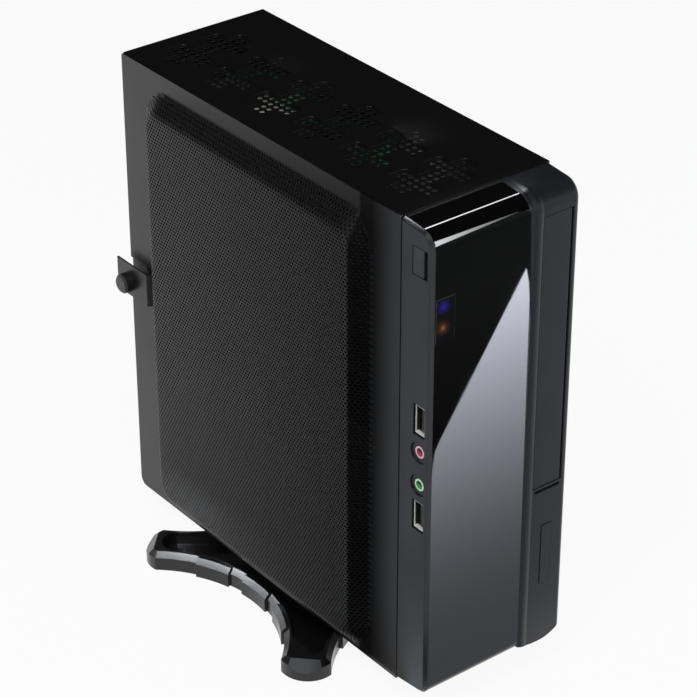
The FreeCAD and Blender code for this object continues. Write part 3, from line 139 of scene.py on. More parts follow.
def link(name, mesh):
    obj = bpy.data.objects.new(name, mesh)
    bpy.context.scene.collection.objects.link(obj)
    return obj


def paint(obj, material):
    obj.data.materials.clear()
    obj.data.materials.append(material)


# Materials

class Finish:
    """A principled material with grain, wear and softened edges, built node by node."""

    def __init__(self, name, color, roughness, metallic=0.0):
        self.material = bpy.data.materials.new(name)
        self.material.use_nodes = True
        self.tree = self.material.node_tree
        self.shader = self.tree.nodes["Principled BSDF"]
        self.shader.inputs["Base Color"].default_value = (*color, 1)
        self.shader.inputs["Roughness"].default_value = roughness
        self.shader.inputs["Metallic"].default_value = metallic
        self.color = color
        self.roughness = roughness
        self.coords = self.tree.nodes.new("ShaderNodeTexCoord").outputs["Object"]
        self.normal = None

    def join(self, start, end):
        self.tree.links.new(start, end)

    def noise(self, scale, detail=3.0, stretch=None):
        """A noise in object space, drawn out along an axis when stretch is given."""
        node = self.tree.nodes.new("ShaderNodeTexNoise")
        node.inputs["Scale"].default_value = scale
        node.inputs["Detail"].default_value = detail
        source = self.coords
        if stretch:
            mapping = self.tree.nodes.new("ShaderNodeMapping")
            mapping.inputs["Scale"].default_value = stretch
            self.join(source, mapping.inputs["Vector"])
            source = mapping.outputs["Vector"]
        self.join(source, node.inputs["Vector"])
        return node.outputs["Fac"]

    def ramp(self, value, low, high):
        """Spreads a noise, which mostly lies between 0.3 and 0.7, from low to high."""
        node = self.tree.nodes.new("ShaderNodeMapRange")
        node.inputs["From Min"].default_value = 0.3
        node.inputs["From Max"].default_value = 0.7
        node.inputs["To Min"].default_value = low
        node.inputs["To Max"].default_value = high
        self.join(value, node.inputs["Value"])
        return node.outputs["Result"]

    def wear(self, scale, spread, stretch=None):
        """Roughness that varies over the surface, as handled or sprayed surfaces do."""
        field = self.ramp(self.noise(scale, 4.0, stretch), self.roughness - spread, self.roughness + spread)
        self.join(field, self.shader.inputs["Roughness"])
        return self

    def mottle(self, scale, spread):
        """Slight light and dark patches in the colour."""
        node = self.tree.nodes.new("ShaderNodeMix")
        node.data_type = "RGBA"
        node.inputs["A"].default_value = (*[c * (1 - spread) for c in self.color], 1)
        node.inputs["B"].default_value = (*[c * (1 + spread) for c in self.color], 1)
        self.join(self.ramp(self.noise(scale, 2.0), 0.0, 1.0), node.inputs["Factor"])
        self.join(node.outputs["Result"], self.shader.inputs["Base Color"])
        return self

    def soften(self, radius):
        """Edges catch the light as if they were rounded."""
        node = self.tree.nodes.new("ShaderNodeBevel")
        node.samples = 4
        node.inputs["Radius"].default_value = radius
        self.normal = node.outputs["Normal"]
        self.join(self.normal, self.shader.inputs["Normal"])
        return self

    def grain(self, scale, depth, strength=0.35, stretch=None):
        """Fine relief of the surface."""
        node = self.tree.nodes.new("ShaderNodeBump")
        node.inputs["Strength"].default_value = strength
        node.inputs["Distance"].default_value = depth
        self.join(self.noise(scale, 2.0, stretch), node.inputs["Height"])
        if self.normal:
            self.join(self.normal, node.inputs["Normal"])
        self.normal = node.outputs["Normal"]
        self.join(self.normal, self.shader.inputs["Normal"])
        return self

    def within(self, centre, reach, firmness):
        """1 at a point of object space, falling to 0 at the reach from it."""
        node = self.tree.nodes.new("ShaderNodeMapping")
        node.inputs["Location"].default_value = [-value / reach for value in centre]
        node.inputs["Scale"].default_value = (1 / reach, 1 / reach, 1 / reach)
        self.join(self.coords, node.inputs["Vector"])
        length = self.tree.nodes.new("ShaderNodeVectorMath")
        length.operation = "LENGTH"
        self.join(node.outputs["Vector"], length.inputs[0])
        fall = self.tree.nodes.new("ShaderNodeMapRange")
        fall.inputs["To Min"].default_value = 1.0
        fall.inputs["To Max"].default_value = 0.0
        self.join(length.outputs["Value"], fall.inputs["Value"])
        power = self.tree.nodes.new("ShaderNodeMath")
        power.operation = "POWER"
        power.inputs[1].default_value = firmness
        self.join(fall.outputs["Result"], power.inputs[0])
        return power.outputs["Value"]

    def painted_foot_shade(self, start, foot, face, least):
        """Painted shade: less sheen toward the foot of the bulge's front wall and up that wall, along Y."""
        full = 0.5
        blend = 0.0015
        stretches = ((start, foot, full, least), (face, face + blend, least, full))
        split = self.tree.nodes.new("ShaderNodeSeparateXYZ")
        self.join(self.coords, split.inputs["Vector"])
        larger = self.tree.nodes.new("ShaderNodeMath")
        larger.operation = "MAXIMUM"
        for turn, (begin, end, first, last) in enumerate(stretches):
            level = self.tree.nodes.new("ShaderNodeMapRange")
            level.inputs["From Min"].default_value = begin
            level.inputs["From Max"].default_value = end
            level.inputs["To Min"].default_value = first
            level.inputs["To Max"].default_value = last
            self.join(split.outputs["Y"], level.inputs["Value"])
            self.join(level.outputs["Result"], larger.inputs[turn])
        self.join(larger.outputs["Value"], self.shader.inputs["Specular IOR Level"])
        return self

    def painted_bore_shade(self, node, color):
        """Painted shade: a darker colour within a socket's bore, which runs along X."""
        to_middle = 0.00295
        bore = 0.0018
        wall = 0.0020
        low, high = spot(node)
        split = self.tree.nodes.new("ShaderNodeSeparateXYZ")
        self.join(self.coords, split.inputs["Vector"])
        flat = self.tree.nodes.new("ShaderNodeCombineXYZ")
        for axis in ("Y", "Z"):
            self.join(split.outputs[axis], flat.inputs[axis])
        away = self.tree.nodes.new("ShaderNodeVectorMath")
        away.operation = "DISTANCE"
        self.join(flat.outputs["Vector"], away.inputs[0])
        away.inputs[1].default_value = (0, low.y + to_middle, (low.z + high.z) / 2)
        inside = self.tree.nodes.new("ShaderNodeMapRange")
        inside.inputs["From Min"].default_value = bore
        inside.inputs["From Max"].default_value = wall
        self.join(away.outputs["Value"], inside.inputs["Value"])
        mix = self.tree.nodes.new("ShaderNodeMix")
        mix.data_type = "RGBA"
        mix.inputs["A"].default_value = (*color, 1)
        mix.inputs["B"].default_value = (*self.color, 1)
        self.join(inside.outputs["Result"], mix.inputs["Factor"])
        self.join(mix.outputs["Result"], self.shader.inputs["Base Color"])
        return self

    def dim(self, begin, stop, color, sockets):
        """The shade within the sockets along X, which starts later on each one's lower wall."""
        wall_band = 0.0007
        delay = 0.0014
        soft_edge = 0.0006
        crisp_edge = 0.0001
        split = self.tree.nodes.new("ShaderNodeSeparateXYZ")
        self.join(self.coords, split.inputs["Vector"])
        depth = split.outputs["X"]
        for name in sockets:
            sill = self.tree.nodes.new("ShaderNodeMath")
            sill.operation = "COMPARE"
            sill.inputs[1].default_value = spot(name)[0].z
            sill.inputs[2].default_value = wall_band
            self.join(split.outputs["Z"], sill.inputs[0])
            later = self.tree.nodes.new("ShaderNodeMath")
            later.operation = "MULTIPLY_ADD"
            later.inputs[1].default_value = -delay
            self.join(sill.outputs["Value"], later.inputs[0])
            self.join(depth, later.inputs[2])
            depth = later.outputs["Value"]
        both = self.tree.nodes.new("ShaderNodeMath")
        both.operation = "MULTIPLY"
        for turn, (edge, reach) in enumerate(((begin, soft_edge), (stop, -crisp_edge))):
            step = self.tree.nodes.new("ShaderNodeMapRange")
            step.inputs["From Min"].default_value = edge
            step.inputs["From Max"].default_value = edge + reach
            self.join(depth, step.inputs["Value"])
            self.join(step.outputs["Result"], both.inputs[turn])
        mix = self.tree.nodes.new("ShaderNodeMix")
        mix.data_type = "RGBA"
        mix.inputs["A"].default_value = (*self.color, 1)
        mix.inputs["B"].default_value = (*color, 1)
        self.join(both.outputs["Value"], mix.inputs["Factor"])
        self.join(mix.outputs["Result"], self.shader.inputs["Base Color"])
        return self

    def halos(self):
        """The painted glow that the two status lights leave as a haze in the smoked window."""
        total = None
        for centre, color, reach, strength in HALOS:
            tint = self.tree.nodes.new("ShaderNodeVectorMath")
            tint.operation = "SCALE"
            tint.inputs[0].default_value = [value * strength for value in color]
            self.join(self.within(centre, reach, firmness=2.2), tint.inputs["Scale"])
            if total:
                add = self.tree.nodes.new("ShaderNodeVectorMath")
                self.join(total, add.inputs[0])
                self.join(tint.outputs["Vector"], add.inputs[1])
                total = add.outputs["Vector"]
            else:
                total = tint.outputs["Vector"]
        self.join(total, self.shader.inputs["Emission Color"])
        self.shader.inputs["Emission Strength"].default_value = 1.0
        return self

    def glow(self, color, strength):
        self.shader.inputs["Emission Color"].default_value = (*color, 1)
        self.shader.inputs["Emission Strength"].default_value = strength
        return self


def satin_sheet(name, color, roughness):
    return Finish(name, color, roughness).wear(25, 0.04).mottle(60, 0.12).soften(0.0003).grain(2600, 0.00003)


def satin_plastic(name, color, roughness):
    return Finish(name, color, roughness).wear(40, 0.05).mottle(90, 0.1).soften(0.00035).grain(1900, 0.00004)


def plated(name, color, roughness, metallic=1.0):
    finish = Finish(name, color, roughness, metallic)
    return finish.wear(120, 0.06, (1, 8, 1)).soften(0.0002).grain(900, 0.00002, 0.2, (1, 12, 1))


def socket_ring(name, color):
    return Finish(name, color, 0.25).wear(400, 0.05).soften(0.0003).grain(1800, 0.00002)


def panel_paint():
    """The side panel's paint, darker around the foot of the bulge's front wall through painted shade on its
    sheen.
    """
    sizes = bpy.context.scene.pccase_mesh
    foot = spot("side_panel")[0].y + sizes.front
    start = foot - 0.0135
    face = foot + sizes.slope - 0.001
    return satin_sheet("PanelPaint", (0.004, 0.004, 0.0042), 0.36).painted_foot_shade(start, foot, face, least=0.06)


def port_metal():
    """Nickel with painted shade between the USB shells' mouths and their back walls."""
    mouth = -0.0371
    back_wall = -0.0232
    shade = (0.03, 0.03, 0.024)
    shells = ("usb_shell_upper", "usb_shell_lower")
    return plated("PortMetal", (0.95, 0.93, 0.88), 0.28, 0.35).dim(mouth, back_wall, shade, shells)


# Place, colour, reach and strength of each halo of painted glow
HALOS = (
    ((-0.0318, -0.1068, 0.2019), (0.08, 0.05, 1.0), 0.0044, 0.26),
    ((-0.0321, -0.1068, 0.1926), (1.0, 0.33, 0.08), 0.0048, 0.12),
    ((-0.0321, -0.1068, 0.1926), (1.0, 0.65, 0.4), 0.0018, 0.16),
)

FINISHES = {
    "shell_paint": lambda: satin_sheet("CoverPaint", (0.003, 0.003, 0.0032), 0.34),
    "panel_paint": panel_paint,
    "chassis_paint": lambda: satin_sheet("ChassisPaint", (0.03, 0.032, 0.032), 0.45),
    "screw_steel": lambda: plated("ScrewSteel", (0.32, 0.32, 0.33), 0.3),
    "thumb_metal": lambda: Finish(
        "ThumbMetal", (0.01, 0.01, 0.01), 0.3).wear(200, 0.06).soften(0.0002).grain(1500, 0.00003),
    "spacer_brass": lambda: plated("SpacerBrass", (0.55, 0.4, 0.15), 0.3),
    "bezel_plastic": lambda: satin_plastic("BezelPlastic", (0.010, 0.0112, 0.0138), 0.36),
    "gloss_black": lambda: Finish("GlossBlack", (0.0015, 0.0015, 0.0018), 0.045).wear(
        70, 0.015).soften(0.00025).grain(350, 0.000008, 0.08),
    "smoked_window": lambda: Finish(
        "SmokedWindow", (0.004, 0.004, 0.006), 0.06).wear(90, 0.02).grain(400, 0.000008, 0.08).halos(),
    "door_plastic": lambda: satin_plastic("DoorPlastic", (0.011, 0.0120, 0.0150), 0.38),
    "button_plastic": lambda: satin_plastic("ButtonPlastic", (0.016, 0.0175, 0.021), 0.34),
    "board_green": lambda: Finish(
        "BoardGreen", (0.01, 0.09, 0.04), 0.35).wear(300, 0.08).mottle(400, 0.3).grain(1200, 0.00003),
    "port_metal": port_metal,
    "tongue_plastic": lambda: satin_plastic("TonguePlastic", (0.012, 0.012, 0.011), 0.4),
    # The mic and headphone rings get painted shade inside their bores.
    "mic_pink": lambda: socket_ring("MicPink", (0.95, 0.52, 0.6)).painted_bore_shade("mic_jack", (0.42, 0.11, 0.15)),
    "headphone_green": lambda: socket_ring(
        "HeadphoneGreen", (0.64, 0.95, 0.64)).painted_bore_shade("headphone_jack", (0.12, 0.36, 0.13)),
    "led_blue": lambda: Finish(
        "LedBlue", (0.03, 0.04, 0.45), 0.15).wear(500, 0.03).glow((0.05, 0.03, 1.0), 0.15),
    "led_orange": lambda: Finish(
        "LedOrange", (0.4, 0.12, 0.02), 0.15).wear(500, 0.03).glow((1.0, 0.3, 0.06), 0.15),
    "socket_cream": lambda: satin_plastic("SocketCream", (0.3, 0.29, 0.25), 0.45),
    "choke_grey": lambda: satin_plastic("ChokeGrey", (0.05, 0.05, 0.052), 0.5),
    "stand_plastic": lambda: satin_plastic("StandPlastic", (0.006, 0.006, 0.0065), 0.2),
    "pad_rubber": lambda: Finish(
        "PadRubber", (0.015, 0.015, 0.015), 0.7).wear(150, 0.08).grain(1400, 0.00005),
}


class PCCASE_OT_finishes(bpy.types.Operator):
    """Give every CAD piece the finish of its material slot"""

    bl_idname = "pccase.finishes"
    bl_label = "Paint the Pieces"

    def execute(self, context):
        made = {}
        for part in frame["record"]["subparts"]:
            slot = part["material_slot"]
            if slot not in made:
                made[slot] = FINISHES[slot]().material
            paint(frame["nodes"][part["node"]], made[slot])
        window = made["smoked_window"].node_tree.nodes["Principled BSDF"]
        window.inputs["Alpha"].default_value = 0.85
        return {"FINISHED"}


# Left side panel: the plain sheet from the CAD piece, and its bulge as a fine staggered mesh

def on_strap(sizes, y, z, margin=0.0):
    """Whether a point lies on the strap, which has no holes."""
    return y > sizes.strap_front + margin and sizes.strap_low < z < sizes.strap_high


def bulge_distance(sizes, y, z, low, high):
    """How far inside the bulge's foot a point lies, and the direction to the foot."""
    y0 = low.y + sizes.front
    y1 = high.y - sizes.overhang - sizes.back
    z0 = low.z + sizes.bottom
    z1 = high.z - sizes.top
    from_middle_y = y - (y0 + y1) / 2
    from_middle_z = z - (z0 + z1) / 2
    out_y = abs(from_middle_y) - (y1 - y0) / 2 + sizes.corner
    out_z = abs(from_middle_z) - (z1 - z0) / 2 + sizes.corner
    if out_y > 0 and out_z > 0:
        length = math.hypot(out_y, out_z)
        toward = (out_y / length, out_z / length)
    else:
        length = max(out_y, out_z)
        toward = (1.0, 0.0) if out_y > out_z else (0.0, 1.0)
    sign_y = math.copysign(1, from_middle_y)
    sign_z = math.copysign(1, from_middle_z)
    return sizes.corner - length, (toward[0] * sign_y, toward[1] * sign_z)


def soft_step(value, firmness=13.0):
    """Rises from 0 to 1 between 0 and 1, with small fillets at both ends."""
    return (math.log1p(math.exp(firmness * value)) - math.log1p(math.exp(firmness * (value - 1)))) / firmness


class PCCASE_OT_side_panel(bpy.types.Operator):
    """Build the side panel with its finely perforated bulge"""

    bl_idname = "pccase.side_panel"
    bl_label = "Build the Side Panel"

    def execute(self, context):
        sizes = context.scene.pccase_mesh
        slack = 0.00002
        weld = 0.000002
        node = frame["nodes"]["side_panel"]
        low, high = spot("side_panel")
        left = spot("bezel_body")[0].x
        skin = left + sizes.thickness * 1.3
        plate = link("SidePlate", node.data.copy())
        shape = bmesh.new()
        shape.from_mesh(plate.data)
        bmesh.ops.remove_doubles(shape, verts=shape.verts, dist=weld)
        gone = []
        for face in shape.faces:
            centre = face.calc_center_median()
            inside = bulge_distance(sizes, centre.y, centre.z, low, high)[0]
            if inside > -slack and centre.x < skin and not on_strap(sizes, centre.y, centre.z):
                gone.append(face)
        bmesh.ops.delete(shape, geom=gone, context="FACES")
        for face in shape.faces:
            face.smooth = False
        shape.to_mesh(plate.data)
        shape.free()
        paint(plate, node.data.materials[0])
        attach(plate, BODY)
        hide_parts("side_panel")

        third = (high.z - low.z) / 3
        for turn, name in enumerate(("MeshLower", "MeshMiddle", "MeshUpper")):
            start = low.z + turn * third
            mesh = self.lattice(sizes, left, low, high, start, start + third)
            piece = link(name, mesh)
            paint(piece, node.data.materials[0])
            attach(piece, BODY)
        return {"FINISHED"}

    def lattice(self, sizes, left, low, high, z_from, z_to):
        """Six-sided cells, each with a hole and the hole's wall, laid over the bulge."""
        pitch = sizes.pitch
        row_step = pitch * math.sqrt(3) / 2
        cell = pitch / math.sqrt(3)
        angles = [math.radians(30 + 60 * turn) for turn in range(6)]
        surface = left + 0.00003
        fringe = 0.0004
        plain_rim = 0.0003
        step = 0.0003
        verts = []
        faces = []
        known = {}

        def rise(y, z):
            return sizes.height * soft_step(bulge_distance(sizes, y, z, low, high)[0] / sizes.slope)

        def corner(y, z):
            key = (round(y * 1e6), round(z * 1e6))
            if key not in known:
                known[key] = len(verts)
                verts.append((surface - rise(y, z), y, z))
            return known[key]

        rows = int((high.z - low.z) / row_step) + 1
        columns = int((high.y - low.y) / pitch) + 1
        for row in range(rows):
            z = low.z + row * row_step
            if not z_from <= z < z_to:
                continue
            for column in range(columns):
                y = low.y + (column + 0.5 * (row % 2)) * pitch
                inside, toward = bulge_distance(sizes, y, z, low, high)
                if inside < -fringe or on_strap(sizes, y, z, 0.001):
                    continue
                steep = (rise(y + toward[0] * step, z + toward[1] * step)
                         - rise(y - toward[0] * step, z - toward[1] * step)) / (2 * step)
                normal = Vector((-1, -steep * toward[0], -steep * toward[1])).normalized()
                outer = [corner(y + math.cos(angle) * cell, z + math.sin(angle) * cell) for angle in angles]
                if inside < plain_rim:
                    faces.append(outer)
                    continue
                rim = []
                deep = []
                for angle in angles:
                    rim_y = y + math.cos(angle) * sizes.hole_radius
                    rim_z = z + math.sin(angle) * sizes.hole_radius
                    top = Vector((surface - rise(rim_y, rim_z), rim_y, rim_z))
                    rim.append(len(verts))
                    verts.append(top[:])
                    deep.append(len(verts))
                    verts.append((top - normal * sizes.thickness)[:])
                for turn in range(6):
                    after = (turn + 1) % 6
                    faces.append((outer[turn], outer[after], rim[after], rim[turn]))
                    faces.append((rim[turn], rim[after], deep[after], deep[turn]))
        mesh = bpy.data.meshes.new("MeshField")
        mesh.from_pydata(verts, [], [tuple(reversed(face)) for face in faces])
        mesh.validate()
        shape = bmesh.new()
        shape.from_mesh(mesh)
        clearly_inward = 0.3
        for face in shape.faces:
            if face.normal.x > clearly_inward:
                face.normal_flip()
        shape.to_mesh(mesh)
        shape.free()
        return mesh


# Studio

WHITE = (1.0, 1.0, 1.0)
BLUISH = (0.935, 0.975, 1.105)
COOL = (0.93, 0.97, 1.1)
FAINT = (0.02, 0.02, 0.021)
STANDOFF = 0.03
SHELF = 0.001


class Mirror:
    """The gloss strip's front as a mirror, with points given from the case's lower left corner."""

    def __init__(self, eye):
        self.low, self.high = spot("gloss_panel")
        self.base = spot("outer_shell")[0].z
        self.left = spot("bezel_body")[0].x
        self.eye = Vector(eye)

    def bounce(self, x, z):
        """A point of the strip, the camera's ray to it and the ray that goes on from it."""
        point = Vector((self.left + x, self.low.y, self.base + z))
        ray = point - self.eye
        return point, ray, Vector((ray.x, -ray.y, ray.z))

    def ahead(self, x, z):
        """Where the ray that goes on is a standoff in front of the strip."""
        point, ray, onward = self.bounce(x, z)
        return point + onward * (STANDOFF / ray.y)

    def landing(self, x, z):
        """Where the ray that goes on is a shelf's height above the floor."""
        point, ray, onward = self.bounce(x, z)
        return point + onward * ((self.base + z - SHELF) / -ray.z)

    def off(self, point, normal, away):
        """A place away from any other point along its mirrored ray."""
        ray = (point - self.eye).normalized()
        return point + ray.reflect(normal) * away


def fan(start, reach, rays):
    """Corners along rays that leave from beside a start, each ray with its shift in X."""
    return [start + Vector((x, 0, 0)) + Vector(ray) * reach for x, ray in rays]


def card(name, corners, color, strength, target=(0, 0, 0.12)):
    """A card that only reflections see, and only from the target's side.

    Its strength is a plain value, or rises along a direction: (direction, from, to, low, high, power).
    """
    mesh = bpy.data.meshes.new(name)
    mesh.from_pydata([tuple(corner) for corner in corners], [], [tuple(range(len(corners)))])
    if mesh.polygons[0].normal.dot(Vector(target) - mesh.polygons[0].center) < 0:
        mesh.flip_normals()
    obj = link(name, mesh)
    material = bpy.data.materials.new(name)
    material.use_nodes = True
    tree = material.node_tree
    tree.nodes.clear()
    output = tree.nodes.new("ShaderNodeOutputMaterial")
    glow = tree.nodes.new("ShaderNodeEmission")
    glow.inputs["Color"].default_value = (*color, 1)
    if isinstance(strength, tuple):
        direction, begin, stop, weak, strong, power = strength
        coords = tree.nodes.new("ShaderNodeTexCoord")
        along = tree.nodes.new("ShaderNodeVectorMath")
        along.operation = "DOT_PRODUCT"
        along.inputs[1].default_value = direction
        curve = tree.nodes.new("ShaderNodeMapRange")
        bend = tree.nodes.new("ShaderNodeMath")
        bend.operation = "POWER"
        bend.inputs[1].default_value = power
        scale = tree.nodes.new("ShaderNodeMapRange")
        curve.inputs["From Min"].default_value = begin
        curve.inputs["From Max"].default_value = stop
        scale.inputs["To Min"].default_value = weak
        scale.inputs["To Max"].default_value = strong
        tree.links.new(coords.outputs["Object"], along.inputs[0])
        tree.links.new(along.outputs["Value"], curve.inputs["Value"])
        tree.links.new(curve.outputs["Result"], bend.inputs[0])
        tree.links.new(bend.outputs["Value"], scale.inputs["Value"])
        tree.links.new(scale.outputs["Result"], glow.inputs["Strength"])
    else:
        glow.inputs["Strength"].default_value = strength
    clear = tree.nodes.new("ShaderNodeBsdfTransparent")
    facing = tree.nodes.new("ShaderNodeNewGeometry")
    mix = tree.nodes.new("ShaderNodeMixShader")
    tree.links.new(facing.outputs["Backfacing"], mix.inputs["Fac"])
    tree.links.new(glow.outputs["Emission"], mix.inputs[1])
    tree.links.new(clear.outputs["BSDF"], mix.inputs[2])
    tree.links.new(mix.outputs["Shader"], output.inputs["Surface"])
    obj.data.materials.append(material)
    obj.visible_camera = False
    obj.visible_diffuse = False
    obj.visible_shadow = False
    obj.visible_transmission = False
    obj.visible_volume_scatter = False
    obj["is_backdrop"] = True
    return obj


def seen_directly(tree, weight=1.0):
    """A value that is 1 for camera, glossy and transmission rays and 0 for the rest, times a weight."""
    path = tree.nodes.new("ShaderNodeLightPath")
    total = path.outputs["Is Camera Ray"]
    for label in ("Is Glossy Ray", "Is Transmission Ray"):
        add = tree.nodes.new("ShaderNodeMath")
        add.operation = "ADD"
        add.use_clamp = True
        tree.links.new(total, add.inputs[0])
        tree.links.new(path.outputs[label], add.inputs[1])
        total = add.outputs["Value"]
    scale = tree.nodes.new("ShaderNodeMath")
    scale.operation = "MULTIPLY"
    scale.inputs[1].default_value = weight
    tree.links.new(total, scale.inputs[0])
    return scale.outputs["Value"]


def softbox(name, place, target, width, height, power):
    """A rectangular lamp that faces a point."""
    lamp = bpy.data.lights.new(name, "AREA")
    lamp.shape = "RECTANGLE"
    lamp.size = width
    lamp.size_y = height
    lamp.energy = power
    obj = bpy.data.objects.new(name, lamp)
    obj.location = place
    obj.rotation_euler = (Vector(target) - Vector(place)).to_track_quat("-Z", "Y").to_euler()
    bpy.context.scene.collection.objects.link(obj)
    return obj


class PCCASE_OT_stage(bpy.types.Operator):
    """Set up floor, world, lamps, reflection cards and camera"""

    bl_idname = "pccase.stage"
    bl_label = "Set the Stage"

    def execute(self, context):
        stage = context.scene.pccase_stage
        scene = context.scene
        scene.view_settings.view_transform = "Standard"
        self.world(scene)
        self.floor(stage)
        self.lamps(stage)
        self.cards(stage)
        self.camera(scene, stage)
        return {"FINISHED"}

    def world(self, scene):
        world = bpy.data.worlds.new("Studio")
        world.use_nodes = True
        scene.world = world
        tree = world.node_tree
        back = tree.nodes["Background"]
        back.inputs["Strength"].default_value = 1.0
        mix = tree.nodes.new("ShaderNodeMix")
        mix.data_type = "RGBA"
        mix.inputs["A"].default_value = (0.25, 0.25, 0.26, 1)
        mix.inputs["B"].default_value = (1, 1, 1, 1)
        tree.links.new(seen_directly(tree), mix.inputs["Factor"])
        tree.links.new(mix.outputs["Result"], back.inputs["Color"])

    def floor(self, stage):
        half = stage.floor_size / 2
        whiteness = 0.93
        mesh = bpy.data.meshes.new("Floor")
        mesh.from_pydata([(-half, -half, 0), (half, -half, 0), (half, half, 0), (-half, half, 0)], [],
                         [(0, 1, 2, 3)])
        obj = link("Floor", mesh)
        material = bpy.data.materials.new("FloorWhite")
        material.use_nodes = True
        tree = material.node_tree
        tree.nodes.clear()
        output = tree.nodes.new("ShaderNodeOutputMaterial")
        lit = tree.nodes.new("ShaderNodeBsdfDiffuse")
        lit.inputs["Color"].default_value = (0.8, 0.8, 0.8, 1)
        glow = tree.nodes.new("ShaderNodeEmission")
        glow.inputs["Color"].default_value = (1, 1, 1, 1)
        mix = tree.nodes.new("ShaderNodeMixShader")
        tree.links.new(seen_directly(tree, whiteness), mix.inputs["Fac"])
        tree.links.new(lit.outputs["BSDF"], mix.inputs[1])
        tree.links.new(glow.outputs["Emission"], mix.inputs[2])
        tree.links.new(mix.outputs["Shader"], output.inputs["Surface"])
        obj.data.materials.append(material)
        obj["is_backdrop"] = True

    def lamps(self, stage):
        middle = (0, 0, 0.12)
        softbox("Key", (-0.55, -0.42, 1.15), middle, 0.5, 0.5, stage.key_power)
        for name, y, power in (("InnerFront", -0.035, 0.01), ("InnerBack", 0.05, 0.0035)):
            inner = softbox(name, (0.0, y, 0.226), (0.02, y, 0.21), 0.02, 0.05, power)
            inner.visible_camera = False
            inner.visible_glossy = False
        softbox("Rim", (0.21, -1.14, 0.72), (0.016, -0.1, 0.22), 0.25, 0.25, 1.5)

    def cards(self, stage):
        """What the faces mirror, placed by following the camera's rays from the surface onward."""
        mirror = Mirror(stage.eye)
        self.front_cards(mirror)
        self.side_cards(mirror.left)
        self.room_cards(mirror)
        self.edge_cards(mirror)
        self.stand_card()

    def front_cards(self, mirror):
        """The two-tone wedge in the gloss strip, and the light on the plastic front."""
        ahead = mirror.ahead
        weakest = 0.74
        edge = [ahead(x, z) for x, z in (
            (0.0484, 0.191), (0.0056, 0.1277), (0.0031, 0.1231), (0.0022, 0.1177), (0.0012, 0.1090))]
        side = [ahead(x, z) for x, z in ((0.0518, -0.015), (0.0517, 0.165), (0.0500, 0.184))]
        light = edge + [ahead(-0.002, -0.015)] + side
        top = ahead(0.0481, 0.191).z
        card("LightCard", light, BLUISH, ((0, 0, 1), ahead(0, 0).z, top, weakest, 12.0, 2.87))
        foot = [mirror.landing(x, z) for x, z in (
            (-0.002, 0.0184), (0.0518, 0.0184), (0.0518, -0.004), (-0.002, -0.004))]
        card("LightCardFoot", foot, BLUISH, weakest)
        outline = [ahead(-0.004, 0.109), ahead(-0.004, 0.23)]
        dark = [ahead(0.0505, 0.23), ahead(0.0517, 0.165)] + side[2:] + edge + outline
        card("DarkCard", dark, (1.0, 1.05, 1.05), ((0, 0, 1), top - 0.07, top, 0.03, 0.1, 1.0))
        seam = [Vector((mirror.left + x, mirror.low.y - 0.0004, mirror.base + z)) for x, z in (
            (0.0520, -0.015), (0.0508, 0.235))]
        fin = [seam[1], seam[0], ahead(0.0520, -0.015), ahead(0.0508, 0.235)]
        card("FinCard", fin, COOL, 0.35, (0.5, -0.2, 0.12))
        front = [ahead(x, z) for x, z in ((0.0508, 0.24), (0.0520, -0.015), (0.088, -0.015), (0.088, 0.24))]
        card("FrontCard", front, COOL, 0.5)

    def side_cards(self, left):
        """Upright cards beside the left face, each with a flat one at its foot.

        The flat ones lean back with the view, which runs 0.675 along Y for every 0.531 along X.
        """
        aside = 0.04
        near = left - aside
        flush = left - 0.0005
        ledge = 0.0145
        crown = 0.23
        shear = 0.675 / 0.531
        for name, y_from, y_to, color, weak, strong, power in (
                ("WallCard", -0.12, -0.07, WHITE, 0.02, 0.02, 1.0),
                ("EdgeCard", -0.07, -0.045, (0.9, 0.98, 1.1), 1.0, 1.0, 1.0),
                ("FootCard", -0.045, -0.012, WHITE, 0.75, 0.0, 0.45),
                ("SideCard", -0.012, 0.19, WHITE, 0.34, 1.25, 1.3)):
            upright = [(near, y_from, ledge), (near, y_to, ledge),
                       (near, y_to, crown), (near, y_from, crown)]
            card(name, upright, color, ((0, 1, 0), y_from, y_to, weak, strong, power))
            flat = [(near, y_from, ledge), (near, y_to, ledge),
                    (flush, y_to - aside * shear, ledge), (flush, y_from - aside * shear, ledge)]
            card(name + "Foot", flat, color,
                 ((shear, 1, 0), y_from + near * shear, y_to + near * shear, weak, strong, power))

    def room_cards(self, mirror):
        """A dark ceiling and backdrop, and a dark sheet behind the case's openings that stands as painted
        shade where the camera looks through them.
        """
        ceiling = [(-5, -5, 1.4), (-5, 5, 1.4), (5, 5, 1.4), (5, -5, 1.4)]
        card("Ceiling", ceiling, FAINT, 1.0)
        backdrop = [(-4, 1.2, 0.24), (3, 1.2, 0.24), (3, 1.2, 1.4), (-4, 1.2, 1.4)]
        card("Backdrop", backdrop, FAINT, 1.0)
        rear = spot("outer_shell")[1].y + 0.004
        inset = 0.006
        begin = mirror.left + inset
        stop = -mirror.left - inset
        bottom = mirror.base + inset
        top = mirror.high.z - inset
        sheet = [(begin, rear, bottom), (stop, rear, bottom), (stop, rear, top), (begin, rear, top)]
        # Painted shade: the camera sees this dark sheet through the case's openings.
        flag = card("RearFlag", sheet, (0.006, 0.006, 0.006), 1.0)
        flag.visible_camera = True
        flag.visible_transmission = True

